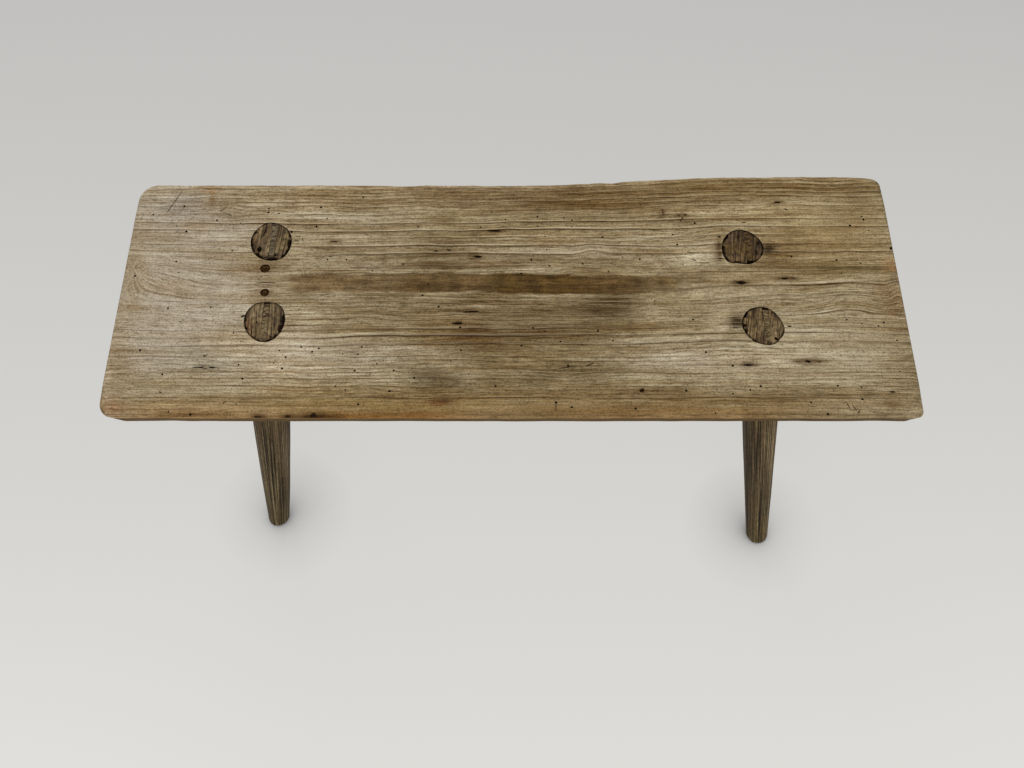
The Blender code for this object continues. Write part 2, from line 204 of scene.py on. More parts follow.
# Left of this column the rings close in loops, drawn out by so many rows at most
LOOP_COLUMN = 148.0
LOOP_REACH = 60.0
LOOP_HALF_ROWS = 26.0
LOOP_FADE_ROWS = 18.0
PITH_BLEND_ROWS = 20.0
NEAR_RIDGES = ((295.5, 0.9), (299.5, 0.7), (304, 0.6), (308, 0.7), (312, 0.8), (317, 0.5),
               (322, 0.6), (326.5, 0.9), (333.5, 1.2), (342.5, 1.3), (348, 0.5), (354.5, 0.8),
               (358.5, 0.6), (363, 0.7), (367, 0.45), (371, 0.75), (374.5, 0.4), (377.5, 0.6),
               (381, 0.4), (385, 0.6), (388.5, 0.35), (392.5, 0.4), (396.5, 0.7), (400.5, 0.4),
               (404, 0.35), (408, 0.35), (412, 0.3), (416, 0.3), (420, 0.3), (424, 0.3), (428, 0.3))
FAR_RIDGES = ((273.5, 0.8), (266.5, 0.7), (259, 0.4), (252.5, 1.2), (244.5, 1.0), (240.5, 0.5),
              (236.5, 0.7), (229, 1.3), (221.5, 1.2), (217.5, 0.6), (213.5, 0.5), (209.5, 0.7),
              (205.5, 0.6), (201.5, 0.7), (198, 0.6), (194.5, 0.5), (191.5, 0.5), (188.5, 0.5),
              (185, 0.4), (181, 0.4), (177, 0.4), (173, 0.4))

# Where the rings wave: column, row, half width, half height, and the rows by which they drop
WAVES = (
    (104, 276, 78, 20, -20), (205, 340, 130, 15, 3), (340, 240, 90, 26, 3), (350, 288, 60, 15, -2),
    (600, 291, 90, 22, 2), (640, 240, 60, 20, 1.5), (770, 338, 150, 14, -3.5),
    (848, 301, 36, 16, -8), (846, 276, 36, 9, -3), (899, 291, 9, 13, -8), (228, 208, 11, 4.5, -2.6),
    (230, 216, 13, 4.5, 2.6), (592, 249, 13, 7, -3), (571, 270, 11, 5, -2.5), (365, 316, 22, 8, -3),
    (500, 312, 45, 9, 2.5), (700, 300, 40, 12, 3), (790, 262, 40, 9, 3))

# Their random sway: rows, length and height of a wave in pixels, and seed. It ends at a row near
# the front edge, over so many rows, and weakens to a share over the columns before the right end.
GRAIN_SWAY = ((1.2, 52.0, 15.0, 11), (0.45, 17.0, 7.0, 12))
SWAY_LAST_ROW = 425.0
SWAY_FADE_ROWS = 30.0
SWAY_LAST_COLUMN = 900.0
SWAY_FADE_COLUMNS = 40.0
SWAY_LEAST = 0.35
# Rows that the widening adds, at so many rows to the rear of the pith and at most a little beyond
WIDENED_ROWS = 8.5
REARWARD_ROWS = 100.0
REARWARD_MOST = 1.1


def grain_row(x, y):
    """The row of the grain at a place: the picture's row, less the waves as smooth bell shapes,
    less a slow random sway, and spread towards the rear right, where the plank widens."""
    column, row = seen_pixel(x, y)
    grain = row.copy()
    for *place, drop in WAVES:
        grain -= drop * bell(column, row, *place)
    swayed = sum(ripple(column, row, *wave) for wave in GRAIN_SWAY)
    leftward = smooth_step((SWAY_LAST_COLUMN - column) / SWAY_FADE_COLUMNS)
    grain -= (swayed * smooth_step((SWAY_LAST_ROW - row) / SWAY_FADE_ROWS)
              * (SWAY_LEAST + (1.0 - SWAY_LEAST) * leftward))
    start, end = WIDENING_SHARES
    widened = smooth_step(((x / HALF_LENGTH + 1.0) / 2.0 - start) / (end - start))
    rearward = np.clip((PITH_ROW - row) / REARWARD_ROWS, 0.0, REARWARD_MOST)
    return grain + WIDENED_ROWS * widened * rearward ** 2


def far_side(off_pith):
    """1 to the rear of the pith and 0 in front: a smooth step of a half less the rows from the
    pith over the rows in which the sides blend."""
    return smooth_step(0.5 - off_pith / PITH_BLEND_ROWS)


def ring_count(x, y, depth):
    """Years from the pith out to a place, whole at each hard ridge, and the width of a year there
    in metres. Rings are circles round the heart. At the left end the inner ones close in loops
    round the point where the pith line stops."""
    column = seen_pixel(x, y)[0]
    off_pith = grain_row(x, y) - PITH_ROW
    beyond = np.clip(LOOP_COLUMN - column, 0.0, LOOP_REACH)
    beyond = beyond * smooth_step((LOOP_HALF_ROWS - np.abs(off_pith)) / LOOP_FADE_ROWS)
    off_pith = np.where(off_pith < 0.0, -1.0, 1.0) * np.hypot(off_pith, beyond)
    radius = np.hypot(off_pith, HEART_BELOW_ROWS - depth / DEPTH_PER_ROW)
    years, widths = [], []
    for ridges in (FAR_RIDGES, NEAR_RIDGES):
        rows = np.array([PITH_ROW] + [ridge[0] for ridge in ridges])
        radii = np.hypot(rows - PITH_ROW, HEART_BELOW_ROWS)
        ages = np.concatenate(([0.5], np.arange(1.0, len(rows))))
        inner = 0.5 - (HEART_BELOW_ROWS - radius) / HEART_RING_ROWS
        years.append(np.where(radius < HEART_BELOW_ROWS, inner, np.interp(radius, radii, ages)))
        spacing = np.abs(np.gradient(rows)) * DEPTH_PER_ROW
        widths.append(np.interp(np.abs(off_pith), np.abs(rows - PITH_ROW), spacing))
    farness = far_side(off_pith)
    return (years[0] * farness + years[1] * (1.0 - farness),
            widths[0] * farness + widths[1] * (1.0 - farness), off_pith)


# Where the ridges stand out most: column, row, half width and half height, and by how much more
BOLD = ((838, 294, 70, 24, 0.9), (430, 240, 150, 26, 0.2), (470, 305, 90, 12, 0.3),
        (345, 310, 60, 26, 0.4), (590, 222, 60, 18, 0.4), (360, 340, 90, 14, 0.4))
# Ridges past the tables' ends, their prominence, and how it comes and goes along the plank: waves
# to the metre, shift and seed of the noise, and the prominence's mean and swing
YEARS_PAST_TABLE = 60
PAST_PROMINENCE = 0.4
FADE_WAVES = 11.0
FADE_SHIFT = 40.0
FADE_PER_YEAR = 1.7
FADE_SIDE_SHIFT = 90.0
FADE_SEED = 12
FADE_MEAN = 0.78
FADE_SWING = 0.42
BAND_FLATTENS = 0.9


def ridge_strength(years, off_pith, x, y):
    """How proud the nearest ridge stands, from the tables, fading in and out along its length, and
    bolder by bell shapes in some places."""
    column, row = seen_pixel(x, y)
    bold = sum(more * bell(column, row, *place) for *place, more in BOLD)
    index = np.clip(np.round(years).astype(int) - 1, 0, YEARS_PAST_TABLE)
    past = [PAST_PROMINENCE] * YEARS_PAST_TABLE
    far = np.array([ridge[1] for ridge in FAR_RIDGES] + past)
    near = np.array([ridge[1] for ridge in NEAR_RIDGES] + past)
    in_front = off_pith > 0.0
    strength = np.where(in_front, near[index], far[index])
    fading = soft_noise(x * FADE_WAVES + FADE_SHIFT,
                        np.round(years) * FADE_PER_YEAR + FADE_SIDE_SHIFT * in_front, FADE_SEED)
    return (strength * (FADE_MEAN + FADE_SWING * fading) * (1.0 + bold)
            * (1.0 - BAND_FLATTENS * band_share(column, row)))


# Places rubbed smooth: column, row, half width and half height, and how much of the grain is gone
CALM = ((835, 226, 58, 28, 0.45), (500, 408, 420, 9, 0.48), (175, 300, 95, 110, 0.42),
        (300, 350, 80, 20, 0.38), (700, 254, 24, 9, 0.2), (750, 280, 50, 10, 0.5),
        (148, 275, 36, 26, 0.25), (845, 350, 60, 36, 0.42), (586, 251, 30, 4, 0.5),
        (790, 366, 100, 18, 0.25), (385, 228, 80, 26, 0.15), (715, 292, 28, 24, 0.22))
CALM_IN_BAND = 0.3
CALM_SQUARENESS = 1.5
# The band along the middle, where a strip of paler wood has worn off: column, its upper and its
# lower edge there, and its colour
BAND = ((282, 273.5, 291.5, (121, 103, 77)), (310, 273.0, 291.5, (108, 91, 66)),
        (385, 273.5, 292.0, (104, 88, 64)), (415, 271.5, 293.0, (90, 71, 43)),
        (452, 271.5, 293.0, (87, 69, 41)), (468, 273.5, 291.5, (93, 73, 46)),
        (484, 273.0, 292.0, (89, 71, 43)), (500, 272.0, 294.0, (76, 57, 25)),
        (570, 273.5, 294.5, (76, 57, 25)), (585, 275.0, 294.5, (83, 63, 33)),
        (636, 275.0, 294.5, (93, 74, 46)), (650, 275.5, 292.0, (102, 85, 58)),
        (692, 276.0, 291.5, (111, 94, 66)))
# Its edges, in pixels: how ragged, the tears' length, height and seed, how soft they are along the
# band, and at its left and right ends
BAND_RAGGED = (0.9, 9.0, 1.0, 35)
BAND_EDGE_ROWS = 1.5
BAND_LEFT_FADE = 14.0
BAND_RIGHT_FADE = 24.0


def band_share(column, row):
    """How far a place belongs to the band: its edges are drawn straight between the listed
    columns, and rise over a pixel and a half where the wood has broken away raggedly."""
    columns, upper, lower = np.array([stop[:3] for stop in BAND], float).T
    ragged = row + ripple(column, row * 0.0 + 3.0, *BAND_RAGGED)
    share = (smooth_step((ragged - np.interp(column, columns, upper)) / BAND_EDGE_ROWS)
             * smooth_step((np.interp(column, columns, lower) - ragged) / BAND_EDGE_ROWS))
    return (share * smooth_step((column - columns[0]) / BAND_LEFT_FADE)
            * smooth_step((columns[-1] - column) / BAND_RIGHT_FADE))


def calm_share(column, row):
    """How much of the grain is rubbed away: the most of the calm places, as flat-topped bells, and
    of a share of the band."""
    calm = CALM_IN_BAND * band_share(column, row)
    for middle, height, half_width, half_height, amount in CALM:
        reach = ((column - middle) / half_width) ** 2 + ((row - height) / half_height) ** 2
        calm = np.maximum(calm, amount * np.exp(-reach ** CALM_SQUARENESS))
    return calm


# Relief of the worn top in metres: a ridge's height as a share of its year's width, with the least
# and the most, what the calm leaves off, the ridge's half width and the hollow beside it
RIDGE_PER_WIDTH = 0.08
RIDGE_LEAST = 0.00030
RIDGE_MOST = 0.00080
CALM_LOWERS = 0.8
RIDGE_HALF_WIDTH = 0.00085
HOLLOW_SHARE = 0.45
# The sway of the whole: height, waves to the metre along and across, and seed
TOP_SWAY = ((0.00035, 7.0, 22.0, 13), (0.00012, 25.0, 90.0, 14))
BAND_SUNK = 0.0005
TOP_WORN_OFF = 0.0011


def seat_relief(x, y):
    """Height of the worn top below its level: each ridge is a narrow bell, the soft wood beside
    it a shallow hollow, and the whole sways a little from years of sitting."""
    years, width, off_pith = ring_count(x, y, 0.0)
    from_ridge = np.abs(years - np.round(years)) * width
    proud = (np.clip(RIDGE_PER_WIDTH * width, RIDGE_LEAST, RIDGE_MOST)
             * ridge_strength(years, off_pith, x, y))
    proud = proud * (1.0 - CALM_LOWERS * calm_share(*seen_pixel(x, y)))
    ridge = proud * np.exp(-(from_ridge / RIDGE_HALF_WIDTH) ** 2)
    hollow = HOLLOW_SHARE * proud * np.sin(np.pi * (years - np.round(years))) ** 2
    sway = sum(height * soft_noise(x * along, y * across, seed)
               for height, along, across, seed in TOP_SWAY)
    sunk = BAND_SUNK * band_share(*seen_pixel(x, y))
    return np.minimum(ridge - hollow + sway - sunk - TOP_WORN_OFF, 0.0)


# Sections across the plank, closer together where the corners and arrises turn and where the
# grain closes at the left end, and rows along it, five to each ridge and more between
END_OFFSETS = (0.0, 0.0003, 0.0011, 0.0023, 0.0040, 0.0060, 0.0080, 0.0105, 0.0135, 0.0170, 0.0210,
               0.0255)
TURNED_END = 0.030
LOOPS_END = 0.115
LOOPS_SPACING = 0.0035
PLAIN_SPACING = 0.0079
HILLS_START = 0.33
HILLS_SPACING = 0.0045
HILLS_SLACK = 0.001
RIDGE_OFFSET_ROWS = (-1.0, -0.45, 0.0, 0.45, 1.0)
FILL_ROWS = 1.15
ARRIS_ROWS = 7
UNDERSIDE_SHARE = 4
FITTING_REACH = 0.080
LEAST_SPACING = 0.00012
LEAST_ROWS_APART = 0.3
LINES_CLEARANCE = 0.0006
FITTED_CLEARANCE = 0.0004
FOLLOW_ROUNDS = 14
FOLLOW_SHARE = 0.8


def column_places():
    """Section places from the left end to the right: the offsets from each end, and even steps
    between them of the spacing named for each stretch."""
    offsets = np.array(END_OFFSETS)
    loops = np.arange(TURNED_END, LOOPS_END, LOOPS_SPACING) - HALF_LENGTH
    plain = np.arange(LOOPS_END - HALF_LENGTH, HILLS_START, PLAIN_SPACING)
    hills = np.arange(HILLS_START, HALF_LENGTH - TURNED_END + HILLS_SLACK, HILLS_SPACING)
    return np.concatenate((offsets - HALF_LENGTH, loops, plain, hills, HALF_LENGTH - offsets[::-1]))


def grain_lines():
    """The rows of grain that the mesh follows, from the front edge to the rear: five by each ridge
    and even ones between, less those in the arrises, made up to a whole number of fours."""
    lines = [PITH_ROW]
    for ridges, outward in ((NEAR_RIDGES, 1.0), (FAR_RIDGES, -1.0)):
        rows = [ridge[0] for ridge in ridges]
        previous = PITH_ROW
        for row in rows:
            close = [row + offset for offset in RIDGE_OFFSET_ROWS]
            gap = abs(row - previous) - 2.0 * RIDGE_OFFSET_ROWS[-1]
            count = int(max(gap, 0.0) / FILL_ROWS)
            first = previous + outward * RIDGE_OFFSET_ROWS[-1] * (previous != PITH_ROW)
            lines += close + list(np.linspace(first, close[2] - outward, count + 2)[1:-1])
            previous = row
    nearest = seen_pixel(0.0, FRONT + ARRIS_WIDTH + LINES_CLEARANCE)[1]
    farthest = seen_pixel(0.0, REAR - WIDENING * 0.5 - ARRIS_WIDTH - LINES_CLEARANCE)[1]
    lines = np.unique(np.round([line for line in lines if farthest < line < nearest], 3))
    lines = lines[np.concatenate(([True], np.diff(lines) > LEAST_ROWS_APART))]
    while (len(lines) + 2 * (ARRIS_ROWS + 1) - 1) % UNDERSIDE_SHARE:
        widest = np.argmax(np.diff(lines))
        lines = np.insert(lines, widest + 1, (lines[widest] + lines[widest + 1]) / 2.0)
    return lines[::-1]


def follow_grain(x, lines):
    """Where each line of grain crosses each section: a guess is moved by the rows it is off, over
    and over, and the result is stretched near the edges to end just inside the arrises."""
    x = np.repeat(x[:, None], len(lines), axis=1)
    front, rear = outline(x[:, :1])
    y = np.repeat(seat_place(PICTURE_WIDTH / 2, lines)[1][None, :], len(x), axis=0)
    for _ in range(FOLLOW_ROUNDS):
        y = y + FOLLOW_SHARE * DEPTH_PER_ROW * (grain_row(x, y) - lines)
    start, end = front + ARRIS_WIDTH + FITTED_CLEARANCE, rear - ARRIS_WIDTH - FITTED_CLEARANCE
    nearness = np.clip(1.0 - (y - y[:, :1]) / FITTING_REACH, 0.0, 1.0)
    y = y + (start - y[:, :1]) * nearness
    nearness = np.clip(1.0 - (y[:, -1:] - y) / FITTING_REACH, 0.0, 1.0)
    y = y + (end - y[:, -1:]) * nearness
    steps = np.maximum(np.diff(y, axis=1), LEAST_SPACING)
    steps = steps * (y[:, -1:] - y[:, :1]) / steps.sum(axis=1, keepdims=True)
    y = y[:, :1] + np.concatenate((np.zeros_like(steps[:, :1]), np.cumsum(steps, axis=1)), axis=1)
    turn = (1.0 - np.cos(np.linspace(0.0, np.pi / 2.0, ARRIS_ROWS + 1))) * ARRIS_WIDTH
    return np.hstack((front + turn, y, rear - turn[::-1]))


# The sawn ends' arris gets smaller away from the long edges: over this reach, and from this share
# of it on
END_ARRIS_REACH = 0.04
END_ARRIS_START = 0.2


def arris_drop(x, y):
    """How far the surface has rolled down towards the outline: a quarter of an ellipse, as deep
    as the arris at the outline and level at its width, both smaller along the sawn ends."""
    front, rear = long_edges(x)
    from_edge = np.minimum(y - front, rear - y) / END_ARRIS_REACH
    share = 1.0 - (1.0 - END_ARRIS_SHARE) * smooth_step(from_edge - END_ARRIS_START)
    across = np.clip(1.0 - inside_by(x, y) / (ARRIS_WIDTH * share), 0.0, 1.0)
    return ARRIS_DEPTH * share * (1.0 - np.sqrt(1.0 - across ** 2))


def draw_in(x, y, depth, inset):
    """The sides lean in below the arris: x and y shrink towards the plank's middle by the slopes
    times the depth below the arris, and by the inset of the rounded bottom edge."""
    below = depth - ARRIS_DEPTH
    x = x * (1.0 - (END_SLOPE * below + inset) / HALF_LENGTH)
    return x, MIDDLE_Y + (y - MIDDLE_Y) * (1.0 - 2.0 * (LONG_EDGE_SLOPE * below + inset) / (REAR - FRONT))


def grid_faces(points, flipped=False):
    """Corner numbers of the four-sided faces between neighbouring points of a grid."""
    number = np.arange(points.shape[0] * points.shape[1]).reshape(points.shape[:2])
    faces = np.stack((number[:-1, :-1], number[1:, :-1], number[1:, 1:], number[:-1, 1:]), axis=-1)
    return (faces[..., ::-1] if flipped else faces).reshape(-1, 4).tolist()


MERGE_DISTANCE = 0.000004
SHARP_ANGLE = math.radians(40.0)


def make_piece(name, patches):
    """One object from patches of points and faces: points that meet are merged, the faces turned
    outwards, and edges sharper than the named angle kept crisp."""
    points, faces, count = [], [], 0
    for patch_points, patch_faces in patches:
        flat = np.reshape(patch_points, (-1, 3))
        points.append(flat)
        faces += [[corner + count for corner in face] for face in patch_faces]
        count += len(flat)
    mesh = bpy.data.meshes.new(name)
    mesh.from_pydata(np.concatenate(points).tolist(), [], faces)
    shell = bmesh.new()
    shell.from_mesh(mesh)
    bmesh.ops.remove_doubles(shell, verts=shell.verts, dist=MERGE_DISTANCE)
    bmesh.ops.recalc_face_normals(shell, faces=shell.faces)
    shell.to_mesh(mesh)
    shell.free()
    mesh.shade_smooth()
    mesh.set_sharp_from_angle(angle=SHARP_ANGLE)
    piece = bpy.data.objects.new(name, mesh)
    bpy.context.scene.collection.objects.link(piece)
    return piece


WALL_DEPTHS = (0.0105, 0.0130, 0.0165, 0.0205, 0.0250, 0.0295, 0.0340, 0.0385, 0.0425, 0.0450,
               0.0468, 0.0477, 0.0480)
WALL_INSETS = (0.0, 0.0, 0.0, 0.0, 0.0, 0.0, 0.0, 0.0, 0.0001, 0.0005, 0.0014, 0.0024, 0.0036)
# Their roughness: streaks to the metre along x, y and the depth, seed, and how deep it goes in
STREAKS_ALONG = 9.0
STREAKS_ROUND_ENDS = 30.0
STREAKS_DOWN = 420.0
STREAKS_SEED = 15
SIDE_ROUGH = 0.00030
END_ROUGH = 0.00012
# Where the top's relief sets in from the outline, and the underside's saw marks
RELIEF_REACH = 0.004
SAWN_DEPTH = 0.00035
SAWN_ALONG = 60.0
SAWN_ACROSS = 8.0
SAWN_SEED = 16
SAWN_REACH = 0.020


def wall_points(x, y):
    """The sides below the arris, level by level: the outline drawn in by the slopes and insets,
    and roughened along the grain by noise that lies in long thin streaks."""
    depth = np.array(WALL_DEPTHS)[None, :]
    wall_x, wall_y = draw_in(x[:, None], y[:, None], depth, np.array(WALL_INSETS)[None, :])
    streaks = soft_noise(wall_x * STREAKS_ALONG + wall_y * STREAKS_ROUND_ENDS,
                         depth * STREAKS_DOWN + 0.0 * wall_x, STREAKS_SEED)
    wall_y = wall_y - np.sign(wall_y - MIDDLE_Y) * SIDE_ROUGH * (1.0 + streaks)
    wall_x = wall_x - np.sign(wall_x) * END_ROUGH * (1.0 + streaks)
    return np.stack((wall_x, wall_y, SEAT_TOP - depth + 0.0 * wall_x), axis=-1)


seat_x = column_places()
seat_y = follow_grain(seat_x, grain_lines())
seat_xs = np.repeat(seat_x[:, None], seat_y.shape[1], axis=1)
inside = inside_by(seat_xs, seat_y)
seat_z = (SEAT_TOP - arris_drop(seat_xs, seat_y)
          + seat_relief(seat_xs, seat_y) * smooth_step(inside / RELIEF_REACH))
top = np.stack((seat_xs, seat_y, seat_z), axis=-1)
front_wall = wall_points(seat_x, seat_y[:, 0])
rear_wall = wall_points(seat_x, seat_y[:, -1])
coarse_y = seat_y[:, ::UNDERSIDE_SHARE]
left_wall = wall_points(0.0 * coarse_y[0] + seat_x[0], coarse_y[0])
right_wall = wall_points(0.0 * coarse_y[-1] + seat_x[-1], coarse_y[-1])
under_x, under_y = draw_in(np.repeat(seat_x[:, None], coarse_y.shape[1], axis=1), coarse_y,
                           THICKNESS, WALL_INSETS[-1])
sawn = SAWN_DEPTH * (1.0 + soft_noise(under_x * SAWN_ALONG, under_y * SAWN_ACROSS, SAWN_SEED))
sawn = sawn * smooth_step(inside_by(under_x, under_y) / SAWN_REACH - 1.0)
under = np.stack((under_x, under_y, SEAT_TOP - THICKNESS + sawn), axis=-1)
# the walls' corners and last level are the same points as their neighbours'
under[:, 0], under[:, -1] = front_wall[:, -1], rear_wall[:, -1]
left_wall[0], left_wall[-1] = front_wall[0], rear_wall[0]
right_wall[0], right_wall[-1] = front_wall[-1], rear_wall[-1]
under[0], under[-1] = left_wall[:, -1], right_wall[:, -1]


def end_strip(edge, wall, flipped):
    """Joins a fine edge to a wall of a quarter of its points: each face takes five points of the
    edge and the two of the wall below them."""
    number = np.arange(len(edge))
    first = number[:-1:UNDERSIDE_SHARE]
    fine = first[:, None] + np.arange(UNDERSIDE_SHARE + 1)
    coarse = len(edge) + np.arange(len(first))
    faces = np.hstack((fine, coarse[:, None] + 1, coarse[:, None]))
    return np.concatenate((edge, wall[:, 0])), (faces[:, ::-1] if flipped else faces).tolist()


front_side = np.concatenate((top[:, :1], front_wall), axis=1)
rear_side = np.concatenate((top[:, -1:], rear_wall), axis=1)
seat = make_piece("seat", (
    (top, grid_faces(top)),
    (under, grid_faces(under, True)),
    (front_side, grid_faces(front_side, True)),
    (rear_side, grid_faces(rear_side)),
    (left_wall, grid_faces(left_wall)),
    (right_wall, grid_faces(right_wall, True)),
    end_strip(top[0], left_wall, False),
    end_strip(top[-1], right_wall, True)))


# The cuts through and into the plank. Each leg's axis crosses the seat's top at a centre and leans
# by so much to the side and to the front or rear for each metre down.
LEG_AXES = {"front_left": ((-0.3100, -0.0536), (-0.1370, -0.2493)),
            "front_right": ((0.3160, -0.0591), (0.1656, -0.3000)),
            "rear_left": ((-0.3154, 0.0680), (-0.1370, 0.2493)),
            "rear_right": ((0.3037, 0.0591), (0.1656, 0.3000))}
# Each bore's worn rim, as seen: columns and rows round it
BORE_RIMS = {
    "front_left": ((262, 301.5), (270, 301.7), (277, 303), (281.5, 306), (284, 311), (285, 318),
                   (284.3, 324), (281.5, 330), (278, 335), (273, 339), (266, 341.5), (259, 341),
                   (253, 338), (248.5, 334), (245.5, 329.5), (244, 325), (244, 319), (245.5, 313),
                   (248.5, 308.5), (253, 304.5), (257, 302.3)),
    "front_right": ((762, 306), (767, 307), (772, 309.5), (777, 314), (780.5, 319), (783.5, 324),
                    (784.9, 329), (784, 333.5), (781, 337.5), (777.5, 341.5), (773.5, 344),
                    (767, 344.2), (759, 342.5), (752, 339.5), (748, 335), (745, 331.5),
                    (742.8, 327), (741.8, 322), (743, 317), (745, 312.5), (749, 308.8), (755, 306.7)),
    "rear_left": ((270, 221.7), (277, 223.7), (284, 226), (288.5, 230), (291, 235), (291.8, 240),
                  (290.5, 247), (288, 252), (284, 257), (278, 259.5), (271, 260.5), (264, 259.5),
                  (257.5, 256.5), (253, 252), (251, 246), (250.7, 240), (253, 234), (256.5, 229.5),
                  (261, 225.5), (266, 223)),
    "rear_right": ((740, 229.5), (747, 231), (753, 234), (758, 238), (762, 243), (763.8, 248),
                   (763, 253), (760.5, 257.5), (756, 261.5), (750, 264), (743, 263.7), (737, 262.5),
                   (730, 262.8), (726.5, 260.5), (723.5, 256), (722, 250), (722, 244), (723.5, 239),
                   (727, 234.5), (732, 231))}
# The gap between rim and tenon in pixels, dark with dirt and with painted shade, at every 45 degrees
# from the right, turning to the rear
RIM_GAPS = {"front_left": (3.0, 1.0, 0.4, 0.7, 1.6, 1.4, 1.2, 2.8),
            "front_right": (0.7, 0.4, 0.6, 1.1, 2.6, 1.4, 0.8, 0.8),
            "rear_left": (2.4, 0.4, 0.4, 1.1, 1.2, 2.2, 1.5, 2.2),
            "rear_right": (1.0, 0.5, 0.7, 1.6, 2.2, 1.8, 1.6, 1.1)}
SHOULDERS = {"left": 0.0280, "right": 0.02725}
BORE_CORNERS = 72
# The rim is evened out over so many places this far to each side, in radians
RIM_SPREAD = 0.12
RIM_SAMPLES = 5
BORE_SLACK = 0.0002
BEYOND = 0.0030
# The two old holes that the pegs plug: centre column and row, and radius
PEG_HOLES = ((264.9, 268.0, 0.0064), (264.6, 292.2, 0.0058))
PEG_HOLE_CORNERS = 24
# Holes of beetles, as seen: column and row
WORM_HOLES = (
    (184.5, 205.5), (153, 214), (217, 220), (240, 222.5), (268.5, 208), (268.5, 211.5), (279, 213),
    (176, 225), (186, 231), (176, 261), (178.5, 272), (134.5, 275.5), (321, 206.5), (327, 218),
    (316, 226), (168, 307.5), (210, 307), (180, 321), (140, 350), (204, 355.5), (162, 374),
    (242, 378), (233, 332), (240.5, 341), (279, 350.5), (301, 346.5), (312, 351.5), (318.5, 348),
    (238, 364.5), (273.5, 362.5), (282, 368.5), (168, 411.5), (189.5, 414.5), (363, 197),
    (418, 226), (481, 226.5), (492, 211.5), (505, 219), (537.5, 216.5), (537.5, 225.5), (545, 236),
    (546.5, 249), (531.5, 259.5), (549.5, 265.5), (327, 258.5), (346.5, 259), (403, 263.5),
    (372.5, 270.5), (521.5, 273), (387, 291.5), (422.5, 295), (439, 306.5), (362, 346.5),
    (342, 353.5), (358, 354), (377, 363.5), (354.5, 370), (369.5, 374), (354, 378.5),
    (335.5, 385.5), (345.5, 389.5), (389, 391), (393.5, 370), (414, 377.5), (442, 344), (451, 361),
    (461, 350), (495, 385.5), (358, 404), (533.5, 327.5), (571.5, 226), (564, 217.5), (572, 219.5),
    (640.5, 204), (673, 234), (677, 244), (602.5, 236.5), (622.5, 256.5), (640, 258.5),
    (652, 255.5), (683, 264.5), (583, 263.5), (608, 271), (695, 222.5), (693, 319), (613, 340),
    (560.5, 341), (568, 365), (686.5, 390), (717, 389), (761, 385.5), (751, 389.5), (733.5, 393.5),
    (733, 365), (556, 402), (572, 407), (635.5, 408), (715.5, 412.5), (861.5, 216), (863.5, 219.5),
    (850, 225), (869.5, 230), (791.5, 256), (856.5, 251.5), (837, 259.5), (861.5, 263),
    (842, 272.5), (862, 323), (847, 319), (879, 325.5), (884, 322.5), (897, 340), (838, 385.5),
    (861.5, 386.5), (863, 399), (900, 371.5), (811, 402), (828.5, 413.5), (261.5, 276), (460, 327),
    (285.5, 357), (598, 330), (655, 300), (232, 250), (521, 345), (706, 352))
WORM_RADIUS = (0.0010, 0.0018)
WORM_UNEVEN = (0.85, 1.15)
WORM_FLARE = 1.15
WORM_TIP = 0.75
WORM_LEAN = 0.0008
WORM_DEPTH = 0.0045
WORM_CORNERS = 8
WORM_SEED = 21
# Slits, pockets and chips, as seen: column, row, length and width in pixels, turn in degrees,
# depth in metres
POCKETS = (
    (206.5, 367, 26.4, 2.3, 0, 0.0016), (206, 367.3, 7.2, 3.2, 0, 0.0024),
    (494.5, 230.5, 14.4, 2.0, 0, 0.0024), (478, 256, 9.6, 3.2, 0, 0.0022),
    (436, 250.5, 6, 2, 8, 0.0016), (449, 249.5, 6, 2.3, -5, 0.0018),
    (471, 311.5, 16.8, 2.3, 3, 0.0018), (457.5, 323, 13.2, 2.9, 0, 0.0020),
    (741, 282, 10.8, 4.1, -3, 0.0030), (785, 278, 8.4, 2.9, 0, 0.0022),
    (777.5, 202, 8.4, 2.6, 0, 0.0020), (786, 209, 4.8, 1.7, -30, 0.0014),
    (748, 364.5, 10.8, 2.5, 0, 0.0026), (808.5, 361, 6.5, 2.8, 0, 0.0030),
    (642, 390, 6, 4.9, 30, 0.0018), (893, 391.5, 7.2, 2, 0, 0.0014),
    (265.5, 282, 26.4, 1.4, -2, 0.0012), (790, 326, 4.8, 1.7, 0, 0.0014),
    (719.5, 236.5, 4.8, 2.3, -10, 0.0014), (720.5, 258, 6, 1.7, 0, 0.0012),
    (296, 240.3, 10.8, 1.4, 0, 0.0014), (291.5, 231.5, 3.6, 2.9, 0, 0.0014),
    (243, 315.6, 6, 2, 12, 0.0016), (256, 417.5, 6, 3.4, 0, 0.0020),
    (286.5, 417, 8.4, 2.6, 0, 0.0016), (313, 416.5, 8, 4.6, 0, 0.0020),
    (305, 416.8, 7, 1.8, 0, 0.0016), (321, 416.8, 7, 1.8, 0, 0.0016), (338, 416.5, 4, 2, 0, 0.0016),
    (616.5, 183.6, 7, 1.8, 0, 0.0014), (428, 284, 1.4, 10.2, 0, 0.0010),
    (545, 331, 1.7, 2, 0, 0.0016), (893, 248, 6, 2.9, 20, 0.0012))
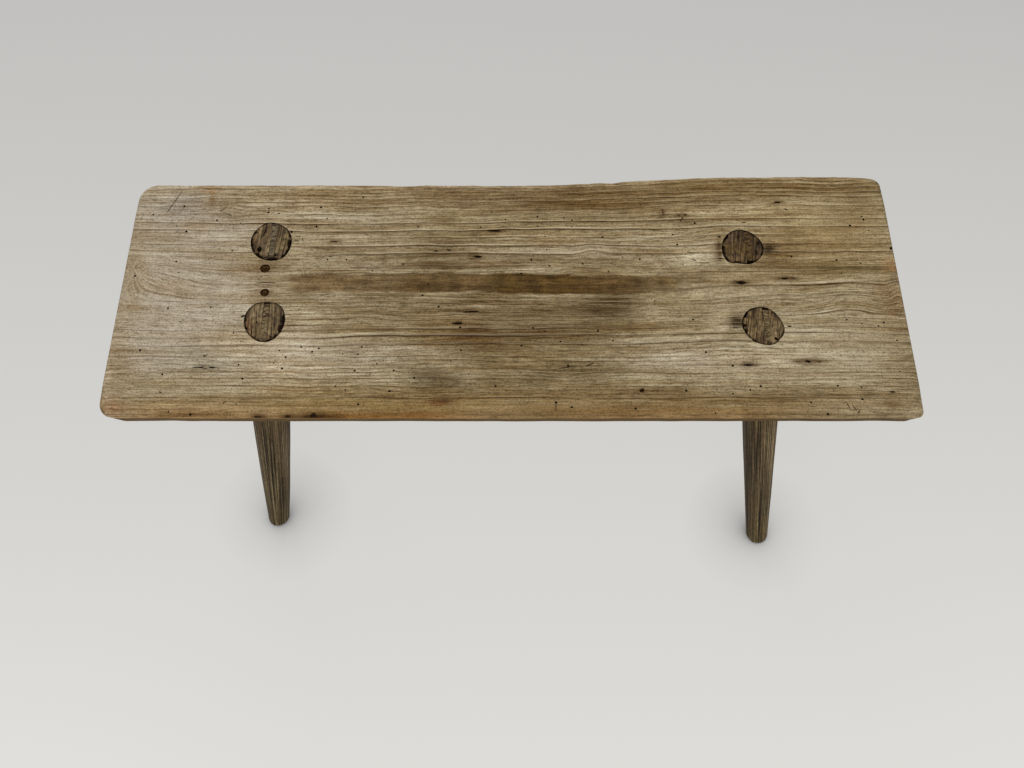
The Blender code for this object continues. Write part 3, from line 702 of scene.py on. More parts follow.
# Shallower scratches and knife marks, in bare brown wood
SCRATCHES = (
    (173.5, 202.5, 42, 1.1, 66, 0.0009), (663, 212, 1.3, 11.2, 4, 0.0012),
    (682, 218.5, 9, 1.6, 60, 0.0012), (679, 215, 5, 1.4, -20, 0.0012),
    (685.5, 214.5, 5, 2.6, 10, 0.0012), (849, 406, 11, 1.1, 110, 0.0009),
    (855, 408, 12, 1.1, 118, 0.0009), (859, 412, 8, 1.4, 50, 0.0010),
    (579, 285, 0.9, 11.2, 0, 0.0010), (618, 284, 1, 14.4, 0, 0.0012),
    (618, 277, 10, 1.3, 0, 0.0009), (547, 364, 1, 12.8, 0, 0.0010), (556, 405, 1, 14.4, 0, 0.0010),
    (298, 236.2, 9, 1.1, -6, 0.0010), (302.5, 238.4, 0.8, 6.4, 0, 0.0010),
    (334, 241, 12, 1.9, 3, 0.0014), (222, 209.5, 9, 1.4, 18, 0.0012),
    (228, 214, 10, 1.3, -22, 0.0010), (566, 367, 18, 1.6, 10, 0.0012),
    (590, 364, 12, 1.6, 22, 0.0012), (330, 256, 6, 1.3, 0, 0.0009), (206, 355, 4, 1.3, 30, 0.0010),
    (224, 402, 5, 1.1, 40, 0.0009), (236, 404, 4, 1.1, -30, 0.0009),
    (160, 392, 5, 1.3, -20, 0.0009), (744, 222, 6, 1.3, 0, 0.0009),
    (798, 361.5, 8, 1.4, -4, 0.0012), (819, 361.5, 8, 1.4, 4, 0.0012),
    (757, 364.8, 6, 1.3, 0, 0.0010), (793, 277.3, 9, 1.3, -4, 0.0010),
    (690, 252, 8, 1.2, -20, 0.0009), (694, 259.5, 8, 1.2, -35, 0.0009),
    (705, 262.5, 16, 1.1, 0, 0.0009), (719.5, 246, 3, 9, 0, 0.0008), (769, 246, 9, 1.3, 0, 0.0011),
    (768, 250.5, 8, 1.3, 4, 0.0011), (771, 248.2, 7, 1.5, -4, 0.0012),
    (737, 319.5, 11, 2.0, 0, 0.0013), (737, 323.2, 12, 2.6, 0, 0.0014),
    (735.5, 326.8, 8, 1.4, 4, 0.0012), (734, 317.0, 12, 1.3, 2, 0.0012))
POCKET_CORNERS = 12
POCKET_UNEVEN = (0.75, 1.2)
# The share of the sine's cube in an oval's flanks, and the size of its mouth and of its floor
POCKET_POINTED = 0.4
POCKET_FLARE = 1.4
POCKET_TIP = 0.55
POCKET_RISE = 0.4
POCKET_SEED = 22
SCRATCH_SEED = 23
# How often a mark's place on the rolled-over arris is put right
SIGHT_ROUNDS = 6


def marked_place(columns, rows):
    """Where a mark sits on the rolled-over surface: the line of sight through its pixel runs on
    below the top's level, to the rear, by the arris's drop over the slope of the sight."""
    x, y = seat_place(columns, rows)
    flat_y = y
    for _ in range(SIGHT_ROUNDS):
        drop = arris_drop(x, y)
        y = flat_y + drop * (flat_y - EYE[1]) / (EYE[2] - SEAT_TOP)
    return x, y, SEAT_TOP - drop


def axis_frame(name):
    """The unit vector down a leg's axis and two square to it: one in the upright plane of the
    bench's length, and one to the rear, each a cross product of the last two."""
    lean = LEG_AXES[name][1]
    down = np.array((lean[0], lean[1], -1.0)) / math.sqrt(1.0 + lean[0] ** 2 + lean[1] ** 2)
    aside = np.cross(down, (0.0, 1.0, 0.0))
    aside = aside / np.linalg.norm(aside)
    return down, aside, np.cross(aside, down)


def bore_radius(name, angle, below):
    """A bore's radius round its axis: the rim's places, seen along the axis, give a radius at each
    angle, drawn smoothly between them, and it changes evenly to the leg's round shoulder below."""
    down, aside, rearward = axis_frame(name)
    columns, rows = np.array(BORE_RIMS[name], float).T
    x, y = seat_place(columns, rows)
    off_axis = np.stack((x, y, 0.0 * x), axis=1) - (*LEG_AXES[name][0], 0.0)
    turns = np.arctan2(off_axis @ rearward, off_axis @ aside)
    radii = np.hypot(off_axis @ rearward, off_axis @ aside)
    spread = np.linspace(-RIM_SPREAD, RIM_SPREAD, RIM_SAMPLES)
    angles = np.mod(angle[..., None] + spread + np.pi, 2.0 * np.pi) - np.pi
    rim = np.interp(angles, turns, radii, period=2.0 * np.pi).mean(axis=-1)
    return rim + (SHOULDERS[name.split("_")[1]] + BORE_SLACK - rim) * below / THICKNESS


def slanted_ring(name, angle, radius, height):
    """Points round a leg's axis at a level height: a ring square to the axis whose points are slid
    along the axis until they reach that height."""
    centre, lean = LEG_AXES[name]
    down, aside, rearward = axis_frame(name)
    below = SEAT_TOP - height
    middle = np.array((centre[0] + lean[0] * below, centre[1] + lean[1] * below, height))
    ring = radius[:, None] * (np.cos(angle)[:, None] * aside + np.sin(angle)[:, None] * rearward)
    return middle + ring - ring[:, 2:] / down[2] * down


def unit_ring(count):
    """Even angles round a circle, and the points there: cosine, sine and height 0."""
    angle = np.linspace(0.0, 2.0 * np.pi, count, endpoint=False)
    return angle, np.stack((np.cos(angle), np.sin(angle), 0.0 * angle), axis=-1)


def ground_points(x, y):
    """The places at height 0, each in a row of its own so that a ring can be laid round it."""
    return np.stack((x, y, 0.0 * x), axis=-1)[:, None, :]


def tapered_cuts(upper, lower):
    """Closed cutters, each between an upper and a lower outline of as many corners: side faces in
    fours, and one face over each end."""
    cuts, corners = upper.shape[:2]
    points = np.stack((upper, lower), axis=1).reshape(-1, 3)
    first = np.arange(cuts)[:, None] * 2 * corners + np.arange(corners)
    following = np.roll(first, -1, axis=1)
    sides = np.stack((first, first + corners, following + corners, following), axis=-1)
    caps = list(first[:, ::-1].tolist()) + list((first + corners).tolist())
    return points, sides.reshape(-1, 4).tolist() + caps


bore_angle = unit_ring(BORE_CORNERS)[0]
bore_tops, bore_ends = [], []
for leg_name in LEG_AXES:
    reach = bore_radius(leg_name, bore_angle, -BEYOND)
    bore_tops.append(slanted_ring(leg_name, bore_angle, reach, SEAT_TOP + BEYOND))
    reach = bore_radius(leg_name, bore_angle, THICKNESS + BEYOND)
    bore_ends.append(slanted_ring(leg_name, bore_angle, reach, SEAT_TOP - THICKNESS - BEYOND))

worm = np.random.default_rng(WORM_SEED)
worm_x, worm_y, worm_level = marked_place(*np.array(WORM_HOLES).T)
worm_radius = (worm.uniform(*WORM_RADIUS, (len(worm_x), 1))
               * worm.uniform(*WORM_UNEVEN, (len(worm_x), WORM_CORNERS)))
worm_ring = worm_radius[..., None] * unit_ring(WORM_CORNERS)[1]
worm_centre = ground_points(worm_x, worm_y)
worm_lean = worm.uniform(-WORM_LEAN, WORM_LEAN, (len(worm_x), 1, 3)) * (1.0, 1.0, 0.0)
worm_top = worm_centre + worm_ring * WORM_FLARE
worm_top[..., 2] = (worm_level + BEYOND)[:, None]
worm_end = worm_centre + worm_lean + worm_ring * WORM_TIP
worm_end[..., 2] = (worm_level - WORM_DEPTH)[:, None]


def pocket_outlines(table, seed):
    """Upper and lower outlines of pockets: ovals whose flanks are drawn in towards the tips by
    the sine's cube, roughened, turned, and laid on the surface under their pixels."""
    columns, rows, lengths, widths, turns, depths = np.array(table).T
    centre_x, centre_y, level = marked_place(columns, rows)
    pixel = seat_place(columns + 1.0, rows)[0] - seat_place(columns, rows)[0]
    cosine, sine = unit_ring(POCKET_CORNERS)[1].T[:2]
    rough = np.random.default_rng(seed).uniform(*POCKET_UNEVEN, (len(table), POCKET_CORNERS))
    along = cosine * rough * (lengths * pixel / 2.0)[:, None]
    across = sine ** 3 * POCKET_POINTED + sine * (1.0 - POCKET_POINTED)
    across = across * rough * (widths * pixel / 2.0)[:, None]
    turn = np.radians(turns)[:, None]
    flat = np.stack((along * np.cos(turn) - across * np.sin(turn),
                     along * np.sin(turn) + across * np.cos(turn), 0.0 * along), axis=-1)
    centre = ground_points(centre_x, centre_y)
    level = level - TOP_WORN_OFF
    upper, lower = centre + flat * POCKET_FLARE, centre + flat * POCKET_TIP
    upper[..., 2] = (level + POCKET_RISE * depths + TOP_WORN_OFF)[:, None]
    lower[..., 2] = (level - depths)[:, None]
    return upper, lower


pocket_top, pocket_end = pocket_outlines(POCKETS, POCKET_SEED)
scratch_top, scratch_end = pocket_outlines(SCRATCHES, SCRATCH_SEED)
peg_columns, peg_rows, peg_radii = np.array(PEG_HOLES).T
peg_x, peg_y = seat_place(peg_columns, peg_rows)
peg_ring = peg_radii[:, None, None] * unit_ring(PEG_HOLE_CORNERS)[1]
peg_centre = ground_points(peg_x, peg_y)
peg_top = peg_centre + peg_ring + (0.0, 0.0, SEAT_TOP + BEYOND)
peg_end = peg_centre + peg_ring + (0.0, 0.0, SEAT_TOP - THICKNESS - BEYOND)


def shade(red, green, blue):
    """A colour as a screen shows it, 0 to 255, turned into light: each channel is raised by the
    usual screen curve."""
    part = np.array((red, green, blue)) / 255.0
    linear = np.where(part <= 0.04045, part / 12.92, ((part + 0.055) / 1.055) ** 2.4)
    return (*linear.tolist(), 1.0)


def add_node(tree, kind, inputs=None, **settings):
    """One shader node: its settings, then each input either linked to another node's output or
    given a plain value."""
    node = tree.nodes.new("ShaderNode" + kind)
    for setting, value in settings.items():
        setattr(node, setting, value)
    for key, value in (inputs or {}).items():
        if isinstance(value, bpy.types.NodeSocket):
            tree.links.new(value, node.inputs[key])
        else:
            node.inputs[key].default_value = value
    return node


def new_finish(name, roughness, specular):
    """A material with an empty node tree but for its surface shader and output."""
    finish = bpy.data.materials.new(name)
    finish.use_nodes = True
    finish.node_tree.nodes.clear()
    surface = add_node(finish.node_tree, "BsdfPrincipled",
                       {"Roughness": roughness, "Specular IOR Level": specular})
    output = add_node(finish.node_tree, "OutputMaterial")
    finish.node_tree.links.new(surface.outputs[0], output.inputs[0])
    return finish, finish.node_tree, surface


def ramp(tree, factor, *stops):
    """A colour ramp over a factor, from stops of place, red, green and blue."""
    node = add_node(tree, "ValToRGB", {"Fac": factor})
    elements = node.color_ramp.elements
    for place, *_ in stops[2:]:
        elements.new(place)
    for element, (place, *tone) in zip(elements, sorted(stops)):
        element.position = place
        element.color = shade(*tone)
    return node.outputs["Color"]


def calculate(tree, operation, *values):
    """One sum on numbers or outputs."""
    return add_node(tree, "Math", dict(enumerate(values)), operation=operation).outputs[0]


def product(tree, first, *others):
    """Numbers or outputs multiplied, one after another."""
    for other in others:
        first = calculate(tree, "MULTIPLY", first, other)
    return first


def blend_colours(tree, kind, factor, first, second):
    """Two colours mixed in the way that the kind names."""
    node = add_node(tree, "Mix", {0: factor, 6: first, 7: second}, data_type="RGBA", blend_type=kind)
    return node.outputs[2]


def own_place(tree):
    """Each place in the object's own metres."""
    return add_node(tree, "TexCoord").outputs["Object"]


def held(tree, name, kind="Fac"):
    """What the mesh holds at each point under a name: a number, a colour or a vector."""
    return add_node(tree, "Attribute", attribute_name=name).outputs[kind]


def noise(tree, place, scale, detail, roughness=0.5):
    """Cloudy noise, so many to the metre. A scale of three stretches it along the axes."""
    if isinstance(scale, tuple):
        place = add_node(tree, "Mapping", {"Vector": place, "Scale": scale}).outputs[0]
        scale = 1.0
    inputs = {"Vector": place, "Scale": scale, "Detail": detail, "Roughness": roughness}
    return add_node(tree, "TexNoise", inputs).outputs["Fac"]


def roughen(tree, surface, height, strength=0.6, distance=0.0008):
    """A bump from a height, laid over the one that the surface may have."""
    normal = surface.inputs["Normal"]
    inputs = {"Height": height, "Strength": strength, "Distance": distance}
    if normal.is_linked:
        inputs["Normal"] = normal.links[0].from_socket
    tree.links.new(add_node(tree, "Bump", inputs).outputs[0], normal)


# Walls of holes: near black with a little brown, partly dirt, never washed out, and partly painted
# shade deep in the holes
cavity, tree, surface = new_finish("old hole wall", 0.95, 0.1)
spots = noise(tree, own_place(tree), 420.0, 3.0)
tree.links.new(ramp(tree, spots, (0.3, 20, 12, 5), (0.7, 50, 35, 19)), surface.inputs["Base Color"])
roughen(tree, surface, spots, 0.4, 0.0004)

# Bare wood in the scratches: brown, a little darker than the weathered face
scratched, tree, surface = new_finish("scratched wood", 0.9, 0.1)
spots = noise(tree, own_place(tree), 300.0, 3.0)
tree.links.new(ramp(tree, spots, (0.3, 52, 38, 21), (0.7, 94, 76, 52)), surface.inputs["Base Color"])

# Pine: the colour of each stain is the surface's own, the rings and fibres lighten and darken it,
# the rings' ridges with a painted highlight and painted shade
pine, tree, surface = new_finish("weathered pine", 0.9, 0.04)
position = own_place(tree)
place = add_node(tree, "SeparateXYZ", {"Vector": position}).outputs


def falling(value, start, end):
    """1 up to the start and 0 from the end on, with a smooth step between."""
    inputs = {"Value": value, "From Min": start, "From Max": end, "To Min": 1.0, "To Max": 0.0}
    return add_node(tree, "MapRange", inputs, interpolation_type="SMOOTHSTEP").outputs[0]


# a ring's profile, as lit from the rear: how far a place is from the nearest ridge in millimetres,
# less than zero on the side away from the front, a pale crest that is a painted highlight, a dark
# line at its foot that is painted shade, and a slow fall of painted shade between
years = held(tree, "years")
whole_years = calculate(tree, "ROUND", years)
off_ridge = product(tree, calculate(tree, "SUBTRACT", years, whole_years), held(tree, "ring_width"),
                    held(tree, "toward_front"))
foot = falling(calculate(tree, "ABSOLUTE", calculate(tree, "SUBTRACT", off_ridge, 1.1)), 0.1, 1.0)
tail_shade = product(tree, falling(off_ridge, 0.6, 4.6), calculate(tree, "GREATER_THAN", off_ridge, 0.35))
crest_highlight = falling(calculate(tree, "ABSOLUTE", calculate(tree, "ADD", off_ridge, 0.2)), 0.2, 1.0)
ridge = held(tree, "ridge")

# fibres: noise squeezed across the grain and drawn out along it, riding on the grain's own waves
fibre_place = add_node(tree, "CombineXYZ", {0: place[0], 1: held(tree, "grain"), 2: place[2]}).outputs[0]


def fibres(along, across, detail):
    """Streaky noise, so many to the metre along the grain and across it."""
    return noise(tree, fibre_place, (along, across, across), detail, 0.6)


fine = fibres(70.0, 620.0, 3.0)
streaks = fibres(17.0, 330.0, 3.0)
coarse = fibres(7.0, 120.0, 3.0)
grit = noise(tree, position, 430.0, 3.0, 0.75)
blotches = noise(tree, position, 38.0, 5.0, 0.65)
# each year's ring has a tone of its own, which comes and goes along the plank
ring_place = add_node(tree, "CombineXYZ", {0: product(tree, place[0], 7.0),
                                           1: product(tree, whole_years, 3.7),
                                           2: held(tree, "toward_front")}).outputs[0]
ring_tone = noise(tree, ring_place, 1.0, 2.0)
# the ridges are broken along their length, where they have worn away
worn = add_node(tree, "MapRange", {"Value": fibres(16.0, 90.0, 2.0), "From Min": 0.36, "From Max": 0.56,
                                   "To Min": 0.35, "To Max": 1.0}).outputs[0]
shown = calculate(tree, "SUBTRACT", 1.0, held(tree, "calm"))
worn = product(tree, worn, ridge, shown)
foot = product(tree, foot, worn)
tail_shade = product(tree, tail_shade, ridge, shown)
crest_highlight = product(tree, crest_highlight, worn)

# fibres, grit, streaks and years darken the stains, each by its own ramp
colour = held(tree, "stain_and_painted_light", "Color")
for amount, pattern, *stops in (
        (shown, fine, (0.36, 195, 189, 180), (0.56, 255, 255, 255)),
        (1.0, grit, (0.34, 184, 178, 168), (0.50, 250, 250, 248), (0.60, 255, 255, 255)),
        (shown, streaks, (0.34, 206, 197, 183), (0.50, 250, 248, 244), (0.60, 255, 255, 255)),
        (shown, coarse, (0.36, 228, 221, 209), (0.56, 255, 255, 255)),
        (shown, ring_tone, (0.36, 222, 212, 196), (0.58, 255, 255, 255))):
    colour = blend_colours(tree, "MULTIPLY", amount, colour, ramp(tree, pattern, *stops))
colour = blend_colours(tree, "OVERLAY", 0.28, colour,
                       ramp(tree, blotches, (0.34, 158, 152, 144), (0.66, 216, 216, 216)))
# and the ridges' painted shade and painted highlight lie over them
for kind, part, strength, tone in (("MULTIPLY", tail_shade, 0.40, (186, 168, 142)),
                                   ("MULTIPLY", foot, 0.90, (136, 112, 84)),
                                   ("SCREEN", crest_highlight, 0.40, (146, 134, 112))):
    colour = blend_colours(tree, kind, product(tree, part, strength), colour, shade(*tone))
tree.links.new(colour, surface.inputs["Base Color"])
roughen(tree, surface, fine, 0.45, 0.0006)
roughen(tree, surface, streaks, 0.45, 0.0010)
tree.links.new(ramp(tree, fine, (0.3, 240, 240, 240), (0.7, 214, 214, 214)), surface.inputs["Roughness"])

# Stains and bleached patches, as seen, with a few marks of painted shade and painted highlight among
# them: column, row, half width, half height, colour, strength, and the turn in degrees of those that
# don't lie level. The first is the whole plank, and each lies over the ones before it.
STAINS_AND_PAINTED_LIGHT = (
    (512, 300, 9000, 9000, (155, 144, 119), 1.0), (175, 300, 80, 130, (159, 151, 138), 0.9),
    (185, 214, 75, 22, (158, 151, 139), 0.8), (205, 402, 110, 9, (151, 134, 101), 0.8),
    (190, 410, 90, 5, (146, 124, 90), 0.8), (350, 196, 130, 12, (143, 128, 100), 0.9),
    (520, 198, 110, 13, (122, 105, 78), 0.9), (365, 225, 60, 13, (160, 151, 134), 0.7),
    (600, 200, 60, 12, (107, 86, 51), 0.9), (760, 188, 110, 9, (124, 105, 69), 0.9),
    (500, 228, 120, 16, (136, 123, 95), 0.7), (345, 256, 60, 12, (143, 131, 110), 0.7),
    (440, 255, 36, 15, (108, 93, 66), 0.9), (580, 254, 75, 10, (142, 130, 109), 0.9),
    (750, 209, 75, 9, (163, 149, 119), 0.8), (826, 240, 62, 26, (138, 119, 84), 0.8),
    (700, 254, 22, 9, (178, 170, 147), 0.9), (740, 277, 42, 8, (128, 110, 80), 0.8),
    (690, 306, 50, 12, (138, 122, 94), 0.6), (836, 267, 56, 5, (140, 127, 96), 0.9),
    (480, 308, 95, 12, (116, 102, 76), 0.8), (612, 306, 28, 17, (78, 63, 38), 0.85),
    (435, 334, 30, 13, (113, 96, 64), 0.8), (478, 337, 21, 11, (86, 59, 14), 0.9),
    (504, 352, 28, 10, (108, 88, 54), 0.6), (548, 334, 60, 13, (96, 76, 46), 0.8),
    (640, 326, 30, 5, (130, 113, 81), 0.8), (694, 332, 28, 9, (156, 145, 120), 0.8),
    (338, 298, 36, 6, (143, 133, 114), 0.8), (345, 357, 75, 15, (162, 154, 138), 0.8),
    (296, 345, 16, 16, (177, 169, 153), 0.9), (555, 362, 60, 13, (128, 113, 83), 0.8),
    (690, 357, 65, 14, (166, 157, 139), 0.9), (845, 352, 62, 22, (160, 151, 130), 0.8),
    (768, 330, 40, 24, (176, 169, 148), 0.75), (257, 345, 32, 12, (184, 175, 157), 0.8),
    (292, 320, 7, 9, (132, 112, 82), 0.5), (251, 257, 9, 6, (168, 156, 132), 0.6),
    (763, 262, 11, 5, (108, 86, 54), 0.5), (497, 264, 27, 4.5, (108, 90, 62), 0.8),
    (861, 213, 28, 15, (118, 99, 66), 0.75), (166, 381, 42, 6.5, (122, 107, 80), 0.85),
    (166, 286, 32, 6, (142, 128, 106), 0.7), (490, 297, 26, 4.5, (98, 79, 50), 0.75),
    (296, 370, 36, 8, (184, 172, 150), 0.65), (497, 386, 36, 6, (108, 91, 60), 0.7),
    (752, 358, 28, 7, (172, 160, 136), 0.6), (445, 319, 22, 6, (150, 136, 110), 0.75),
    (557, 239, 30, 6, (166, 152, 126), 0.7), (223, 341, 18, 9, (186, 176, 158), 0.7),
    (298, 391, 36, 6, (168, 150, 117), 0.7), (370, 342, 34, 5.5, (122, 106, 80), 0.65),
    (703, 200, 46, 5.5, (108, 88, 56), 0.65), (290, 203, 30, 6, (166, 152, 130), 0.65),
    (688, 279, 22, 5.5, (104, 86, 58), 0.65), (156, 236, 24, 9, (134, 121, 101), 0.6),
    (729, 276, 16, 5, (156, 142, 114), 0.6), (854, 342, 30, 6, (132, 116, 90), 0.6),
    (354, 321, 26, 6, (122, 105, 78), 0.65), (384, 295, 26, 4.5, (108, 92, 66), 0.7),
    (432, 382, 26, 14, (92, 80, 56), 0.85), (530, 377, 12, 9, (114, 102, 76), 0.7),
    (550, 375, 9, 6, (98, 84, 56), 0.6), (590, 374, 12, 6, (100, 86, 58), 0.6),
    (596, 370, 26, 11, (124, 113, 87), 0.7), (430, 400, 190, 10, (129, 109, 74), 0.8),
    (680, 402, 150, 10, (121, 101, 67), 0.8), (375, 408, 95, 9, (127, 107, 69), 0.8),
    # along the front edge, the pale strip at (195, 416.5) and the pale line at (640, 419.5) are partly
    # brown stain and partly painted highlight, against the shade on the turned-down arris
    (375, 418, 110, 6, (134, 95, 46), 0.9), (195, 416.5, 80, 4.5, (152, 126, 90), 0.9),
    (560, 411, 90, 4.5, (116, 93, 58), 0.7), (690, 412, 110, 5, (125, 99, 62), 0.85),
    (640, 419.5, 190, 3, (176, 141, 94), 0.8), (870, 405, 36, 10, (155, 140, 114), 0.8),
    (895, 300, 20, 28, (141, 125, 98), 0.8), (905, 375, 18, 30, (139, 125, 98), 0.7),
    (118, 370, 12, 40, (146, 130, 107), 0.7), (106, 385, 4.5, 26, (178, 166, 144), 0.7, -6),
    (112, 408, 10, 9, (152, 120, 90), 0.6), (135, 265, 10, 32, (140, 125, 99), 0.5),
    (183, 206, 22, 9, (144, 140, 132), 0.6), (195, 360, 32, 14, (146, 140, 124), 0.5),
    (190, 383, 55, 9, (150, 138, 110), 0.6), (196, 228, 14, 6, (140, 118, 84), 0.4),
    (134, 306, 12, 3, (132, 112, 84), 0.6), (212, 196, 3, 8, (106, 80, 44), 0.7),
    (245, 270, 17, 4, (128, 105, 72), 0.5), (264, 268, 13, 7, (104, 80, 46), 0.6),
    (264, 292, 12, 7, (110, 84, 52), 0.5), (722, 322, 12, 9, (184, 174, 152), 0.9),
    (737.5, 322, 9.0, 6.0, (60, 44, 20), 0.95, 4), (786, 253, 14, 8, (112, 90, 56), 0.7),
    # the narrow dark stain at (719, 251), left of the rear right tenon, is painted shade
    (719, 251, 4, 12, (84, 62, 34), 0.9), (767, 248.5, 8, 5.0, (56, 40, 18), 0.97),
    (890, 264, 8, 7, (142, 106, 68), 0.5), (884, 291, 10, 6, (134, 104, 72), 0.35),
    (894, 307, 5, 7, (132, 100, 68), 0.35), (440, 402, 10, 3, (96, 58, 34), 0.8),
    (313, 415.5, 17, 3.2, (52, 30, 6), 0.95), (256, 416.5, 7, 3.2, (60, 38, 12), 0.9),
    (286, 416, 9, 2.6, (66, 42, 14), 0.9), (338, 416, 6, 2, (86, 58, 26), 0.8),
    (809, 361, 15, 2.5, (84, 64, 36), 0.85), (741, 282, 10, 3, (66, 46, 20), 0.9),
    (786, 278, 11, 2.5, (72, 50, 22), 0.85), (748, 364.5, 9, 2.5, (70, 50, 24), 0.85),
    (777, 202, 9, 2.5, (96, 72, 40), 0.7), (494, 230.5, 9, 2, (88, 64, 34), 0.7),
    (476, 256, 10, 3, (84, 62, 32), 0.7), (471, 311.5, 12, 2.5, (84, 62, 34), 0.6),
    (206, 367, 14, 2.5, (96, 84, 62), 0.7), (663, 212, 3, 5, (90, 64, 38), 0.7),
    (682, 217, 7, 5, (112, 92, 60), 0.7), (333, 241, 8, 2, (110, 88, 56), 0.7),
    (642, 390, 5, 3, (86, 64, 36), 0.7), (570, 366, 14, 5, (104, 94, 72), 0.5),
    (893, 403, 7, 5, (104, 80, 48), 0.65), (211, 189, 12, 4, (134, 104, 66), 0.5))

# Thin dark lines that run with the grain: from column, to column, row, half width in rows, strength
DARK_LINES = (
    (205, 240, 274.3, 0.8, 0.5), (340, 440, 266.5, 1.0, 0.6), (545, 600, 271.0, 1.0, 0.5),
    (380, 560, 255.2, 0.9, 0.5), (110, 905, 396.6, 0.7, 0.45), (145, 190, 301.5, 0.7, 0.4),
    (300, 420, 358.5, 0.7, 0.4), (640, 760, 363.7, 0.8, 0.4), (560, 700, 371.5, 0.7, 0.4),
    (410, 514, 187.6, 0.9, 0.7), (560, 640, 193.0, 1.0, 0.5), (640, 720, 222.0, 0.9, 0.5),
    (700, 900, 394.5, 0.7, 0.4), (780, 890, 267.0, 1.6, 0.5), (150, 330, 385.5, 0.6, 0.3),
    (560, 880, 407.5, 0.7, 0.35), (250, 500, 411.0, 0.8, 0.4), (640, 720, 258.0, 0.7, 0.4),
    (560, 690, 197.3, 0.7, 0.4))


# Noise that draws the stains out and breaks them into threads: size, length and height of its
# waves in pixels, seed and shift. Stains smaller than the named halves are moved by less, and only
# those between the named heights have threads.
STAIN_SWAY = (2.2, 28.0, 7.0, 31)
STAIN_DRIFT = (9.0, 40.0, 5.0, 32, 9.0)
STAIN_THREADS = (0.4, 32.0, 1.4, 39)
WHOLE_DRIFT_HALF = 30.0
WHOLE_SWAY_HALF = 8.0
THREADED_HEIGHTS = (6.0, 20.0)
STAIN_FALL = 0.55
STAIN_SQUARENESS = 1.5
# The band's own texture, its dark upper edge down to a row, and how far it covers the stains
BAND_CHECKS = ((0.27, 2.0, 9.0, 36), (0.16, 8.0, 4.0, 37), (0.28, 40.0, 1.2, 38))
BAND_EDGE_DARK = 0.35
BAND_EDGE_ROW = 283.0
BAND_COVERS = 1.1
BAND_MOST = 0.97
# The thin lines wander and break, fade over so many columns at their ends, and darken to a tone
LINE_WANDER = (0.8, 22.0, 1.0, 33)
LINE_BREAKS = (0.35, 9.0, 1.0, 34)
LINE_FADE = 14.0
LINE_TONE = (96, 74, 48)
# The sides below the arris: where they turn unworn, in metres down, how much, and their tone
UNWORN_START = 0.006
UNWORN_FADE = 0.012
UNWORN_SHARE = 0.75
UNWORN_TONE = (104, 84, 56)
# The front arris is painted paler as it turns down, a painted highlight that makes up for the shade
# falling on it there: how far in, how far down, and the steps by which it pales as it turns, as start,
# fade and amount
HIGHLIGHT_WIDTH = 0.014
HIGHLIGHT_DEPTH = 0.009
HIGHLIGHT_END = 2.4
HIGHLIGHT_STEPS = ((0.0, 0.001, 0.16), (0.0025, 0.004, 0.34), (0.006, 0.003, 0.40))
# Fibres and the ridges' painted shade only darken the colour, so the ground under them is lighter
# by as much
FIBRE_GAIN = 1.33


def lay_over(colours, paint, amount):
    """Each point's colour times one less its amount, plus the paint times its amount."""
    return colours * (1.0 - amount[:, None]) + paint * amount[:, None]


